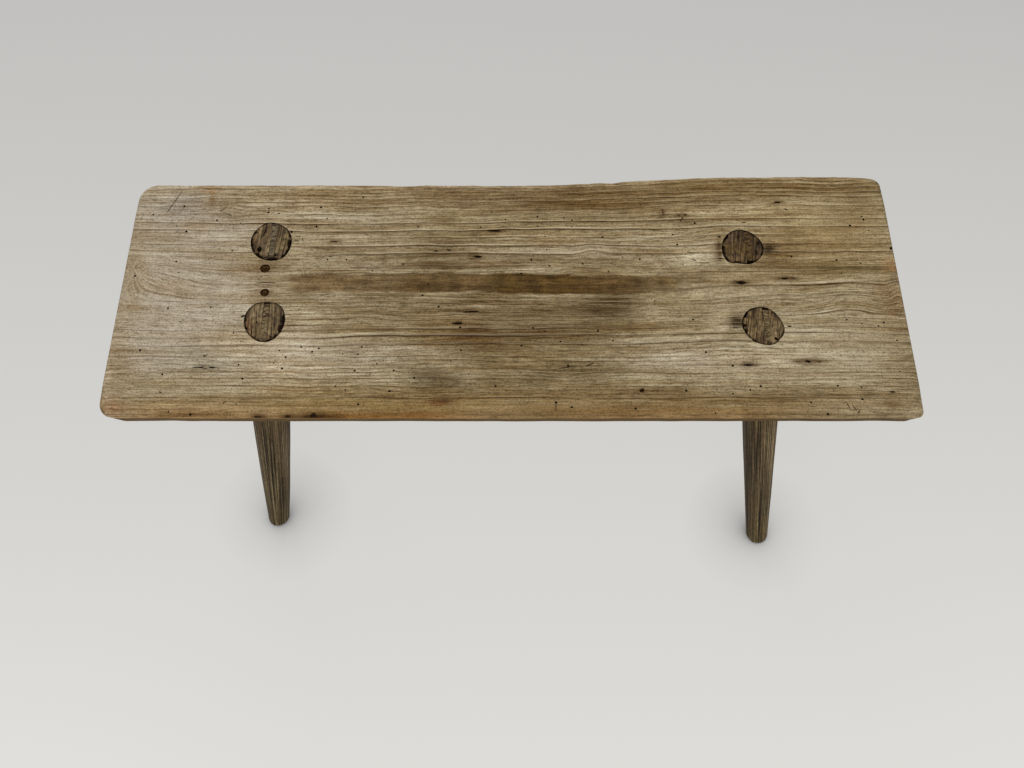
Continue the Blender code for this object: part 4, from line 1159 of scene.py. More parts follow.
def stains_with_painted_light(x, y, depth):
    """Each point's colour: the stains, with a few painted shade and highlight marks, laid over one
    another, each fading from its middle as a flat bell and broken into threads along the grain, then
    the band with its sharp edges, the thin lines, over the sides and underside the duller brown of
    unworn wood, and a painted highlight that makes the front arris paler."""
    column, row = seen_pixel(x, y)
    sway = ripple(column, row, *STAIN_SWAY)
    drift = ripple(column, row, *STAIN_DRIFT)
    threads = 1.0 + ripple(column, row, *STAIN_THREADS)
    colours = np.zeros((len(x), 4))
    for middle, height, half_width, half_height, paint, strength, *turned in STAINS_AND_PAINTED_LIGHT:
        turn = math.radians(sum(turned))
        cosine, sine = math.cos(turn), math.sin(turn)
        aside = column + drift * min(1.0, half_width / WHOLE_DRIFT_HALF) - middle
        below = row + sway * min(1.0, half_height / WHOLE_SWAY_HALF) - height
        reach = (((aside * cosine + below * sine) / half_width) ** 2
                 + ((below * cosine - aside * sine) / half_height) ** 2)
        amount = strength * np.exp(-STAIN_FALL * reach ** STAIN_SQUARENESS)
        if THREADED_HEIGHTS[0] < half_height < THREADED_HEIGHTS[1]:
            amount = np.clip(amount * threads, 0.0, 1.0)
        colours = lay_over(colours, np.array(shade(*paint)), amount)
    paints = np.array([shade(*stop[3]) for stop in BAND])
    band = np.stack([np.interp(column, [stop[0] for stop in BAND], paint) for paint in paints.T], axis=1)
    checks = sum(ripple(column, row, *wave) for wave in BAND_CHECKS)
    share = band_share(column, row)
    edge = 4.0 * share * (1.0 - share) * (row < BAND_EDGE_ROW)
    band = band * (1.0 + checks - BAND_EDGE_DARK * edge)[:, None]
    colours = lay_over(colours, band, np.clip(BAND_COVERS * share, 0.0, BAND_MOST))
    for start, end, height, half_width, strength in DARK_LINES:
        along = column * 0.0 + height
        wander = ripple(column, along, *LINE_WANDER)
        reach = smooth_step((column - start) / LINE_FADE) * smooth_step((end - column) / LINE_FADE)
        broken = 1.0 - LINE_BREAKS[0] + ripple(column, along, *LINE_BREAKS)
        amount = strength * reach * broken * np.exp(-((row + wander - height) / half_width) ** 2)
        colours = colours * (1.0 - amount[:, None] * (1.0 - np.array(shade(*LINE_TONE))))
    unworn = smooth_step((depth - UNWORN_START) / UNWORN_FADE)[:, None]
    dull = np.array(shade(*UNWORN_TONE))
    colours = (colours * (1.0 - UNWORN_SHARE * unworn) + dull * UNWORN_SHARE * unworn) * FIBRE_GAIN
    # painted highlight: the front arris is made paler where it turns down, against the shade there
    highlight = (smooth_step(1.0 - (y - FRONT) / HIGHLIGHT_WIDTH)
              * smooth_step(HIGHLIGHT_END - depth / HIGHLIGHT_DEPTH))
    paler = sum(amount * smooth_step((depth - start) / fade) for start, fade, amount in HIGHLIGHT_STEPS)
    colours = colours * (1.0 + (highlight * paler)[:, None])
    colours[:, 3] = 1.0
    return colours


FIELD_KINDS = {1: ("FLOAT", "value"), 3: ("FLOAT_VECTOR", "vector"), 4: ("FLOAT_COLOR", "color")}


def set_field(piece, name, values):
    """Puts a number, a vector of three or a colour of four on each point of a mesh."""
    kind, key = FIELD_KINDS[values.size // len(values)]
    attribute = piece.data.attributes.new(name, kind, "POINT")
    attribute.data.foreach_set(key, np.ascontiguousarray(values, np.float32).ravel())


def mesh_points(piece):
    """The mesh's points as an array of rows of three."""
    points = np.empty(len(piece.data.vertices) * 3, np.float32)
    piece.data.vertices.foreach_get("co", points)
    return points.reshape(-1, 3).astype(float)


def cut_away(piece, cutter):
    """Subtracts the closed cutter from the piece and throws the cutter away: what the cut lays
    bare keeps the cutter's finish."""
    cut = piece.modifiers.new("cut", "BOOLEAN")
    cut.operation = "DIFFERENCE"
    cut.solver = "MANIFOLD"
    cut.material_mode = "TRANSFER"
    cut.object = cutter
    done = piece.evaluated_get(bpy.context.evaluated_depsgraph_get())
    mesh = bpy.data.meshes.new_from_object(done)
    piece.modifiers.clear()
    piece.data = mesh
    bpy.data.objects.remove(cutter)


seat.data.materials.append(pine)
bores_and_holes = (tapered_cuts(np.array(bore_tops), np.array(bore_ends)), tapered_cuts(peg_top, peg_end))
for cuts, wall in ((bores_and_holes, cavity), ((tapered_cuts(pocket_top, pocket_end),), cavity),
                   ((tapered_cuts(scratch_top, scratch_end),), scratched),
                   ((tapered_cuts(worm_top, worm_end),), cavity)):
    cutter = make_piece("cutter", cuts)
    cutter.data.materials.append(wall)
    cut_away(seat, cutter)
seat.data.set_sharp_from_angle(angle=SHARP_ANGLE)
point_x, point_y, point_z = mesh_points(seat).T
years, widths, off_pith = ring_count(point_x, point_y, SEAT_TOP - point_z)
set_field(seat, "years", years)
set_field(seat, "ring_width", widths * 1000.0)
set_field(seat, "toward_front", 1.0 - 2.0 * far_side(off_pith))
set_field(seat, "ridge", ridge_strength(years, off_pith, point_x, point_y))
set_field(seat, "calm", calm_share(*seen_pixel(point_x, point_y)))
set_field(seat, "grain", off_pith * DEPTH_PER_ROW)
set_field(seat, "stain_and_painted_light", stains_with_painted_light(point_x, point_y, SEAT_TOP - point_z))
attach(seat, "root")
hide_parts("seat_plank")


# Legs: four stakes split from a log, shaved round with a drawknife and tapered to slim feet. The
# top of each is a tapered tenon, driven up through its bore and sawn level with the seat, so its
# end grain shows there, dark and split, with a gap round it that is dark with dirt and with painted
# shade, where the tenon's side in the bore is near black.
LEG_SIZES = {"left": (SHOULDERS["left"], 0.0165, 1.7), "right": (SHOULDERS["right"], 0.01675, 1.2)}
TENON_DROP = 0.0007
TENON_ARRIS = 0.0011
GAP_PER_PIXEL = 0.0013
SHAFT_LEVELS = 104
AROUND = 160
CAP_RINGS = 26
SOLE_RINGS = 7
FACETS = 9
# Each tenon's end: how its grain lines turn from straight to the rear, in degrees, and its colour
TENON_ENDS = {"front_left": (-3.0, (128, 110, 81)), "front_right": (12.0, (122, 104, 74)),
              "rear_left": (4.0, (124, 106, 76)), "rear_right": (8.0, (98, 78, 43))}
# Stains on the tenon ends, as seen: column, row, half width, half height, colour, strength
TENON_STAINS = {
    "rear_left": (
        (283, 240, 7, 11, (116, 102, 68), 0.6), (264, 247, 6, 6, (136, 122, 98), 0.6),
        (258, 248, 5, 4.5, (62, 42, 26), 0.8), (252.5, 243, 3, 8, (104, 72, 32), 0.7),
        (264, 232, 2.2, 7, (86, 68, 38), 0.6), (274, 255, 6, 2.5, (48, 33, 18), 0.8),
        (258, 257, 8, 3, (56, 36, 18), 0.7)),
    "front_left": (
        (263, 312, 9, 6, (128, 115, 92), 0.6), (247, 325, 2.6, 9, (112, 76, 46), 0.7),
        (274, 322, 2.6, 7, (66, 54, 34), 0.6), (266, 338, 10, 2.5, (98, 68, 38), 0.6),
        (281, 325, 2.6, 12, (54, 34, 18), 0.8)),
    "rear_right": (
        (730, 238, 4, 4, (116, 98, 80), 0.6), (748, 232, 9, 4, (64, 46, 20), 0.7),
        (737, 236.5, 3, 4, (66, 47, 22), 0.7), (758, 242, 5, 4, (50, 33, 18), 0.8),
        (757, 252, 5, 4, (60, 41, 26), 0.7), (735, 257, 8, 2.6, (122, 102, 78), 0.6),
        (761, 257, 2.4, 4, (118, 98, 82), 0.6)),
    "front_right": (
        (752, 313, 9, 5, (106, 88, 54), 0.6), (771, 327, 9, 8, (140, 123, 96), 0.6),
        (762, 337, 6, 4, (84, 66, 40), 0.5), (769, 312, 8, 2.5, (88, 68, 40), 0.6),
        (751, 322, 5, 6, (108, 88, 54), 0.5))}
# Tones on the legs, most the wood's own, but high on the front left leg's front right, under the
# seat, a painted shade, and on the front right leg a painted shade down its left side and a painted
# highlight down its right: height, angle in degrees from the right to the rear, half height in
# metres, half angle in degrees, and how much red, green and blue are raised or lowered
LEG_TONES_AND_PAINTED_LIGHT = {
    "front_left": (
        (0.33, 218, 0.07, 30, (1.05, 0.74, 0.52)), (0.37, 300, 0.04, 50, (0.72, 0.70, 0.62)),
        (0.05, 270, 0.10, 90, (0.95, 0.99, 0.92))),
    "front_right": (
        (0.20, 212, 0.25, 34, (0.62, 0.58, 0.52)), (0.24, 322, 0.16, 34, (1.32, 1.32, 1.30)),
        (0.03, 280, 0.05, 60, (1.10, 1.14, 0.92)))}
FOOT_ROUNDING = {"front_left": 0.0060, "front_right": 0.0045,
                 "rear_left": 0.0060, "rear_right": 0.0055}
# Holes and splits in the tenon ends, as seen: column, row, length, width, turn, depth
TENON_MARKS = {
    "rear_left": (
        (259.3, 249.0, 4.4, 6.4, 0, 0.004), (275.0, 254.5, 3.4, 3.0, 0, 0.003),
        (263.6, 233.5, 15, 1.2, 67, 0.0012), (254, 250.5, 2.4, 1.6, 0, 0.002),
        (266.5, 256.8, 6.0, 1.6, 10, 0.0016), (257, 232, 4.0, 1.2, 50, 0.0012)),
    "front_left": (
        (274.5, 324.5, 1.2, 3.2, 0, 0.0018), (256.5, 322, 1.2, 3.0, 0, 0.0014),
        (251.3, 332, 1.3, 6.0, 12, 0.0016), (268, 312, 0.9, 7.0, 0, 0.0010),
        (271.5, 336.5, 6.0, 1.4, -20, 0.0014)),
    "rear_right": (
        (747.8, 247, 1.3, 26, 3, 0.0016), (758.0, 243.0, 3.6, 5.0, 0, 0.0016),
        (756.5, 252, 3.0, 6.4, 6, 0.0014), (747.5, 232.8, 4.6, 2.4, 14, 0.0014),
        (738.0, 237, 2.2, 5.0, 0, 0.0014), (733, 256, 1.0, 6.0, 10, 0.0010)),
    "front_right": (
        (776.5, 338.5, 3.4, 4.8, 30, 0.0020), (762.0, 334.0, 1.0, 5.5, 12, 0.0010),
        (757.0, 322.0, 0.9, 7.0, 10, 0.0008))}


# Marks of the hand on a shaft: the first leg's seed, with ten for each leg, and how far below the
# seat the marks set in
LEG_SEED = 50
MARKS_START = 0.002
MARKS_FADE = 0.02
# Facets: how far they turn aside, in waves to the metre, and how deep their corners are cut
FACET_TURN = 0.5
FACET_WAVES = 5.0
FACET_SHIFT = 3.0
FACET_CUT = 0.25
# Dents: their size round the leg and along it, and depth
DENT_ROUND = 2.3
DENT_SHIFT = 7.0
DENT_WAVES = 16.0
DENT_DEPTH = 0.00022
# Grooves: share, how many round half the leg, and waves to the metre; they fade at the seam
GROOVES = ((1.0, 46.0, 9.0), (0.6, 23.0, 5.0))
GROOVE_DEPTH = 0.00016
SEAM_WIDTH = 0.1
# The gap round the tenon: how uneven, within which limits, and how deep it is open
GAP_WAVES = 6.0
GAP_SHIFT = 9.0
GAP_MEAN = 0.75
GAP_SWING = 1.2
GAP_LIMITS = (0.05, 2.0)
GAP_OPEN = 0.002
GAP_CLOSES = 0.006
TENON_SLACK = 0.0001


def leg_radius(side, below):
    """A leg's radius at a depth below the seat's top: from the shoulder under the seat down to the
    foot by a power of the way."""
    shoulder, foot, belly = LEG_SIZES[side]
    way = np.clip((below - THICKNESS) / (SEAT_TOP - THICKNESS), 0.0, 1.0)
    return foot + (shoulder - foot) * (1.0 - way ** belly)


def shaved_radius(name, angle, below):
    """The radius with the marks of the hand: knife facets, a circle blended with a many-sided
    figure that turns slowly, soft dents, and fine grooves of raised grain, all cut inwards. In
    the bore it fills the bore instead, but for the gap round its upper end."""
    seed = list(LEG_AXES).index(name) * 10 + LEG_SEED
    radius = leg_radius(name.split("_")[1], below)
    shown = smooth_step((below - THICKNESS - MARKS_START) / MARKS_FADE)
    turned = angle + FACET_TURN * soft_noise(below * FACET_WAVES + FACET_SHIFT, below * 0.0, seed)
    width = 2.0 * np.pi / FACETS
    corner = np.mod(turned, width) - width / 2.0
    facet = np.cos(width / 2.0) / np.cos(corner)
    cosine, sine = np.cos(angle), np.sin(angle)
    dents = soft_noise(cosine * DENT_ROUND + DENT_SHIFT, sine * DENT_ROUND + below * DENT_WAVES, seed + 1)
    grooves = sum(share * soft_noise(angle * count / np.pi, below * waves, seed + 2 + number)
                  for number, (share, count, waves) in enumerate(GROOVES))
    seam = smooth_step(angle / SEAM_WIDTH) * smooth_step((2.0 * np.pi - angle) / SEAM_WIDTH)
    cut = (FACET_CUT * (1.0 - facet) * radius + DENT_DEPTH * (1.0 + dents)
           + GROOVE_DEPTH * (1.0 + grooves * seam))
    eighths = np.array(RIM_GAPS[name] + RIM_GAPS[name][:1]) * GAP_PER_PIXEL
    gap = np.interp(angle, np.linspace(0.0, 2.0 * np.pi, len(eighths)), eighths)
    uneven = soft_noise(GAP_WAVES * cosine + GAP_SHIFT, GAP_WAVES * sine, seed + 4)
    gap = gap * np.clip(GAP_MEAN + GAP_SWING * uneven, *GAP_LIMITS)
    depth = np.minimum(below, THICKNESS)
    in_bore = (bore_radius(name, angle, depth) - TENON_SLACK
               - gap * (1.0 - smooth_step((depth - GAP_OPEN) / GAP_CLOSES)))
    return np.where(below < THICKNESS, in_bore, radius - cut * shown)


# The rings: how far above the plank's underside the shaft's begin and the tenon's end, levels of
# the tenon, steps round the foot's arris and the tenon's, and how the cap's rings crowd outwards
SHAFT_START = 0.004
TENON_STOP = 0.006
TENON_LEVELS = 10
FOOT_STEPS = 8
TENON_STEPS = 5
CAP_POWER = 0.85
CAP_FADE_RINGS = 4.0
CAP_FADE = 0.1
FOOT_UNEVEN = 0.35
FOOT_WAVES = 2.0
FOOT_SHIFT = 5.0
FOOT_SEED = 61
# The sawn end's lines of grain and its dips: share, waves to the metre across and along, and seed,
# then their heights, how far they are sunk, and the most that they stand up
END_LINES = ((1.0, 520.0, 30.0, 62), (0.6, 210.0, 14.0, 63))
END_DIPS = (70.0, 60.0, 64)
END_LINE_HEIGHT = 0.00030
END_DIP_HEIGHT = 0.00025
END_SUNK = 0.0003
END_MOST = 0.0004


def leg_rings(name):
    """The leg as rings from the middle of its sawn end, out over the end, down its length and in
    over the sole: each ring is level, and slid along the axis to its height."""
    angle = np.linspace(0.0, 2.0 * np.pi, AROUND, endpoint=False)[None, :]
    rounding = FOOT_ROUNDING[name]
    below_seat = np.linspace(THICKNESS - SHAFT_START, SEAT_TOP - rounding, SHAFT_LEVELS)
    in_seat = np.linspace(TENON_DROP + TENON_ARRIS, THICKNESS - TENON_STOP, TENON_LEVELS)
    turn = np.linspace(0.0, np.pi / 2.0, FOOT_STEPS)
    foot = SEAT_TOP - rounding * (1.0 - np.sin(turn[1:]))
    below = np.concatenate((in_seat, below_seat, foot))[:, None]
    radius = shaved_radius(name, np.repeat(angle, len(below), axis=0), below + 0.0 * angle)
    pull = np.concatenate((np.zeros(len(in_seat) + len(below_seat)), rounding * (1.0 - np.cos(turn[1:]))))
    uneven = 1.0 + FOOT_UNEVEN * soft_noise(FOOT_WAVES * np.cos(angle) + FOOT_SHIFT,
                                            FOOT_WAVES * np.sin(angle) + FOOT_SHIFT, FOOT_SEED)
    radius = radius - pull[:, None] * uneven
    # the sawn end: its arris worn round, and rings in to the middle
    rim = radius[:1]
    worn = np.sin(np.linspace(np.pi / 2.0, 0.0, TENON_STEPS))[1:-1, None]
    cap = np.linspace(0.0, 1.0, CAP_RINGS)[:, None] ** CAP_POWER
    end_radius = np.concatenate((cap * (rim - TENON_ARRIS), rim - TENON_ARRIS * worn))
    end_below = TENON_DROP + np.concatenate((np.zeros(CAP_RINGS), TENON_ARRIS * (1.0 - worn[:, 0][::-1])))
    sole_radius = np.linspace(1.0, 0.0, SOLE_RINGS + 1)[1:, None] * radius[-1:]
    radius = np.concatenate((end_radius, radius, sole_radius))
    below = np.concatenate((end_below[:, None], below, np.full((SOLE_RINGS, 1), SEAT_TOP)))
    rings = np.stack([slanted_ring(name, angle[0], ring, SEAT_TOP - depth)
                      for ring, depth in zip(radius, below[:, 0])])
    # the end's own relief: lines of grain that run to the rear, and a dip towards the rim
    across, along = end_place(name, rings[..., 0], rings[..., 1])
    share = np.clip(np.arange(len(rings)) / (CAP_RINGS + CAP_FADE_RINGS), 0.0, 1.0)[:, None]
    on_end = smooth_step((1.0 - share) / CAP_FADE)
    lines = sum(share * soft_noise(across * aside, along * back, seed)
                for share, aside, back, seed in END_LINES)
    dips = soft_noise(across * END_DIPS[0], along * END_DIPS[1], END_DIPS[2])
    relief = END_LINE_HEIGHT * lines + END_DIP_HEIGHT * dips - END_SUNK
    rings[..., 2] += on_end * np.minimum(relief, END_MOST)
    return rings


def end_place(name, x, y):
    """A place on a tenon's end in the directions of its grain: across its lines and along them."""
    centre = LEG_AXES[name][0]
    turn = math.radians(TENON_ENDS[name][0])
    aside, rearward = x - centre[0], y - centre[1]
    return (aside * math.cos(turn) - rearward * math.sin(turn),
            rearward * math.cos(turn) + aside * math.sin(turn))


def skin_faces(rings):
    """Faces between neighbouring closed rings."""
    number = np.arange(rings.shape[0] * rings.shape[1]).reshape(rings.shape[:2])
    following = np.roll(number, -1, axis=1)
    faces = np.stack((number[:-1], number[1:], following[1:], following[:-1]), axis=-1)
    return faces.reshape(-1, 4).tolist()


# Dark stake wood: brown, greyed by handling, with fine light and dark lines down its length
stake_wood, tree, surface = new_finish("dark stake wood", 0.8, 0.2)
along_leg = held(tree, "leg_place", "Vector")


def leg_streaks(along, across, detail):
    """Streaky noise along the leg, so many to the metre along it and across it."""
    return noise(tree, along_leg, (across, across, along), detail, 0.6)


lines = leg_streaks(5.0, 1000.0, 3.0)
colour = ramp(tree, lines, (0.38, 24, 16, 6), (0.46, 78, 63, 39), (0.54, 122, 103, 73),
              (0.63, 172, 152, 119))
for kind, amount, pattern, *stops in (
        ("MULTIPLY", 0.55, leg_streaks(9.0, 160.0, 4.0), (0.34, 176, 166, 152), (0.58, 255, 255, 255)),
        ("OVERLAY", 0.5, leg_streaks(20.0, 45.0, 5.0), (0.32, 116, 98, 78), (0.5, 124, 122, 114),
         (0.68, 146, 154, 146)),
        ("OVERLAY", 0.6, leg_streaks(110.0, 1100.0, 2.0), (0.34, 118, 112, 100), (0.64, 236, 234, 228)),
        ("MULTIPLY", 1.0, held(tree, "leg_height"), (0.0, 255, 255, 255), (0.22, 244, 244, 244),
         (0.34, 226, 216, 200), (0.44, 200, 184, 160))):
    colour = blend_colours(tree, kind, amount, colour, ramp(tree, pattern, *stops))
colour = blend_colours(tree, "MULTIPLY", 1.0, colour, held(tree, "tint", "Color"))
tree.links.new(colour, surface.inputs["Base Color"])
roughen(tree, surface, lines)
tree.links.new(ramp(tree, lines, (0.3, 240, 240, 240), (0.7, 196, 196, 196)), surface.inputs["Roughness"])


def end_colours(tree, surface, lines, line_stops, spots, strength, spot_stops):
    """End grain in the mesh's own tint: darkened along its lines, then spotted, and rough where it
    is lined."""
    colour = blend_colours(tree, "MULTIPLY", 1.0, held(tree, "tint", "Color"),
                           ramp(tree, lines, *line_stops))
    colour = blend_colours(tree, "OVERLAY", strength, colour, ramp(tree, spots, *spot_stops))
    tree.links.new(colour, surface.inputs["Base Color"])
    roughen(tree, surface, lines)


# End grain of the tenons: greyer, with lines that run to the rear, and dirt at the rim
end_grain, tree, surface = new_finish("tenon end grain", 0.85, 0.2)
on_end = held(tree, "end_place", "Vector")
end_colours(tree, surface, noise(tree, on_end, (520.0, 20.0, 30.0), 4.0, 0.62),
            ((0.40, 100, 86, 65), (0.49, 200, 192, 178), (0.60, 255, 255, 255)),
            noise(tree, on_end, 170.0, 4.0), 0.8, ((0.36, 84, 78, 66), (0.62, 176, 174, 170)))


KERF_HALF_WIDTH = 0.0300
KERF_ABOVE = 0.012


def kerf_plate(name, grow):
    """The space of a wedge in its tenon: a plate across the end, thick at the seat's top and thin
    at its tip, from above the seat down to the tip, as an upper and a lower outline."""
    (thickness, tip, length), offset = WEDGE_SIZES, WEDGE_SHIFTS[name]
    down, aside, rearward = axis_frame(name)
    centre = np.array((*LEG_AXES[name][0], SEAT_TOP))
    outlines = []
    for reach in (-KERF_ABOVE, length + grow):
        half = (thickness + (tip - thickness) * reach / length) / 2.0 + grow
        middle = centre + down * reach + aside * offset
        corners = ((-1, -1), (1, -1), (1, 1), (-1, 1))
        outlines.append([middle + aside * half * side + rearward * KERF_HALF_WIDTH * back
                         for side, back in corners])
    return np.array(outlines[:1]), np.array(outlines[1:])


# The wedges: thickness at the top and at the tip, and length down the kerf. Then each one's shift
# from its leg's axis
WEDGE_SIZES = (0.0070, 0.0012, 0.036)
WEDGE_SHIFTS = {"front_left": 0.0005, "front_right": 0.0055, "rear_left": 0.0040, "rear_right": 0.0060}
KERF_GAP = 0.00015
LINE_ROUND = 0.024
# By how much each leg's pattern is shifted from the one before: down its length and on its end
LEG_SHIFT = 0.7
END_SHIFT = 0.3
MARKS_SEED = 24
# Faces this far above the plank's underside are in the bore, and points this far below the seat's
# top are off the sawn end
BORE_START = 0.004
OFF_END = 0.006
# Dirt at the tenon's rim: how ragged, in waves round the rim, where it begins and how it fades
RIM_RAGGED = 0.0012
RIM_WAVES = 5.0
RIM_SEED = 65
RIM_WIDTH = 0.0034
RIM_FADE = 0.0026
RIM_STRENGTH = 0.38
RIM_TONE = (50, 36, 20)
END_STAIN_FALL = 0.6
END_GAIN = 1.32

for number, leg_name in enumerate(LEG_AXES):
    leg_skin = leg_rings(leg_name)
    leg = make_piece(leg_name + "_stake", ((leg_skin, skin_faces(leg_skin)),))
    for finish in (stake_wood, end_grain, cavity):
        leg.data.materials.append(finish)
    centres = np.empty(len(leg.data.polygons) * 3, np.float32)
    leg.data.polygons.foreach_get("center", centres)
    # what is in the bore is near black, partly dirt and partly painted shade, and the sawn end is bare
    height = centres.reshape(-1, 3)[:, 2]
    in_bore = height > SEAT_TOP - THICKNESS + BORE_START
    on_end = height > SEAT_TOP - TENON_DROP - TENON_ARRIS
    leg.data.polygons.foreach_set("material_index", np.where(on_end, 1, 2 * in_bore).astype(np.int32))
    marks = pocket_outlines(TENON_MARKS[leg_name], MARKS_SEED)
    for outlines in (kerf_plate(leg_name, KERF_GAP), marks):
        cutter = make_piece("cutter", (tapered_cuts(*outlines),))
        cutter.data.materials.append(cavity)
        cut_away(leg, cutter)
    leg.data.set_sharp_from_angle(angle=SHARP_ANGLE)
    leg_points = mesh_points(leg)
    down, aside, rearward = axis_frame(leg_name)
    from_top = leg_points - (*LEG_AXES[leg_name][0], SEAT_TOP)
    local = from_top @ np.stack((aside, rearward, down), axis=1)
    # the lines follow the taper: a place round the leg is laid on a round of one size
    size = np.hypot(local[:, :1], local[:, 1:2]) / LINE_ROUND
    turned = local / (size * (1.0, 1.0, 0.0) + (0.0, 0.0, 1.0))
    set_field(leg, "leg_place", turned + LEG_SHIFT * number)
    set_field(leg, "leg_height", leg_points[:, 2])
    across, along = end_place(leg_name, leg_points[:, 0], leg_points[:, 1])
    set_field(leg, "end_place", np.stack((across, along, 0.0 * across + END_SHIFT * number), axis=-1))
    turns = np.mod(np.arctan2(local[:, 1], local[:, 0]), 2.0 * np.pi)
    from_rim = bore_radius(leg_name, turns, 0.0) - np.hypot(local[:, 0], local[:, 1])
    ragged = RIM_RAGGED * soft_noise(RIM_WAVES * np.cos(turns), RIM_WAVES * np.sin(turns), RIM_SEED)
    rim = smooth_step((RIM_WIDTH + ragged - from_rim) / RIM_FADE) * RIM_STRENGTH
    column, row = seen_pixel(leg_points[:, 0], leg_points[:, 1])
    tints = np.array(shade(*TENON_ENDS[leg_name][1])) + np.zeros((len(leg_points), 1))
    for middle, height, half_width, half_height, paint, strength in TENON_STAINS[leg_name]:
        reach = ((column - middle) / half_width) ** 2 + ((row - height) / half_height) ** 2
        tints = lay_over(tints, np.array(shade(*paint)), strength * np.exp(-END_STAIN_FALL * reach))
    tints = lay_over(tints, np.array(shade(*RIM_TONE)), rim) * (END_GAIN, END_GAIN, END_GAIN, 1.0)
    # and below the end, the leg's own tones, with painted shade and painted highlight on the front legs
    tones_and_light = np.ones((len(leg_points), 4))
    for height, middle, half_height, half_angle, paint in LEG_TONES_AND_PAINTED_LIGHT.get(leg_name, ()):
        aside_by = np.mod(np.degrees(turns) - middle + 180.0, 360.0) - 180.0
        reach = ((leg_points[:, 2] - height) / half_height) ** 2 + (aside_by / half_angle) ** 2
        amount = np.exp(-reach)[:, None]
        tones_and_light = tones_and_light * (1.0 - amount + amount * (*paint, 1.0))
    below_end = (SEAT_TOP - leg_points[:, 2] > OFF_END)[:, None]
    set_field(leg, "tint", np.where(below_end, tones_and_light, tints))
    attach(leg, "root")
    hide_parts(leg_name + "_leg")


# Wedges: thin riven plates driven into the tenons' saw cuts from above and sawn off level. Only
# their worn, greyed ends show, as a band across each tenon.
WEDGE_ROWS = 46
WEDGE_COLUMNS = 7
WEDGE_LEVELS = (0.0, 0.0006, 0.004, 0.010, 0.018, 0.027, 0.0355)
# How far inside the bore the tenon's rim lies, and a wedge's end inside the rim, and the shares by
# which its top is eased in thickness and in width
WEDGE_RIM = 0.0010
WEDGE_INSET = 0.0007
WEDGE_EASED = (0.06, 0.02)
# Ticks across its end: share, how many along and across, and shift across, the first seed, with
# the second four on, then their height, how far they are sunk, and the most they stand up
WEDGE_TICKS = ((1.0, 15.0, 1.3, 4.0, 0), (0.5, 4.0, 2.6, 0.0, 4))
WEDGE_SEED = 70
TICK_HEIGHT = 0.00030
TICK_SUNK = 0.0002
TICK_MOST = 0.0003


def wedge_levels(name):
    """The wedge as level after level of a grid across its section: as wide as the tenon's chord
    there, as thick as the taper leaves, with its corners eased at the top."""
    (thickness, tip, length), offset = WEDGE_SIZES, WEDGE_SHIFTS[name]
    down, aside, rearward = axis_frame(name)
    centre = np.array((*LEG_AXES[name][0], SEAT_TOP))
    across = np.linspace(-1.0, 1.0, WEDGE_COLUMNS)[None, None, :, None]
    along = np.linspace(-1.0, 1.0, WEDGE_ROWS)[None, :, None, None]
    depth = np.array(WEDGE_LEVELS)[:, None, None, None]
    half_thickness = (thickness + (tip - thickness) * depth / length) / 2.0
    rim = bore_radius(name, np.array((np.pi / 2.0, -np.pi / 2.0)), 0.0).min() - WEDGE_RIM
    chord = np.sqrt(rim ** 2 - (abs(offset) + thickness / 2.0) ** 2)
    eased = 1.0 - WEDGE_EASED[0] * (depth == 0.0)
    half_width = (chord - WEDGE_INSET) * (1.0 - WEDGE_EASED[1] * (depth == 0.0))
    points = (centre + aside * (offset + across * half_thickness * eased)
              + rearward * along * half_width)
    points = points - (points[..., 2:] - SEAT_TOP + TENON_DROP) / down[2] * down + down * depth
    # the top is rough with the wood's own ticks across its width
    seed = list(WEDGE_SHIFTS).index(name) + WEDGE_SEED
    length_way, width_way = along[0, ..., 0], across[0, ..., 0]
    ticks = sum(share * soft_noise(length_way * rows, width_way * columns + shift, seed + more)
                for share, rows, columns, shift, more in WEDGE_TICKS)
    points[0, ..., 2] += np.minimum(TICK_HEIGHT * ticks - TICK_SUNK, TICK_MOST)
    return points


def wedge_patches(levels):
    """The wedge's skin: its top and tip, and its four sides, each a grid over the levels."""
    sides = (levels[:, :, 0], levels[:, :, -1], levels[:, 0], levels[:, -1])
    faces = (True, False, False, True)
    skins = [(side, grid_faces(side, flipped)) for side, flipped in zip(sides, faces)]
    return skins + [(levels[0], grid_faces(levels[0])), (levels[-1], grid_faces(levels[-1], True))]


# Each wedge's own tint: greyed on the rear left, close to its tenon's colour on the others
WEDGE_TINTS = {"front_left": (126, 109, 82), "front_right": (120, 103, 75),
               "rear_left": (110, 98, 77), "rear_right": (92, 73, 45)}
# Dirt at both ends of the band: strength, where it begins from the middle, fade and tone
DIRT_STRENGTH = 0.35
DIRT_START = 0.0215
DIRT_FADE = 0.0030
DIRT_TONE = (48, 37, 22)
WEDGE_GAIN = 1.12

# Grey end grain, with dark ticks across the band
wedge_grey, tree, surface = new_finish("grey wedge end", 0.9, 0.1)
wedge_place = own_place(tree)
end_colours(tree, surface, noise(tree, wedge_place, (150.0, 480.0, 90.0), 4.0, 0.6),
            ((0.38, 108, 98, 82), (0.48, 206, 202, 194), (0.60, 255, 255, 255)),
            noise(tree, wedge_place, 150.0, 3.0), 0.5, ((0.32, 92, 88, 78), (0.66, 166, 168, 168)))

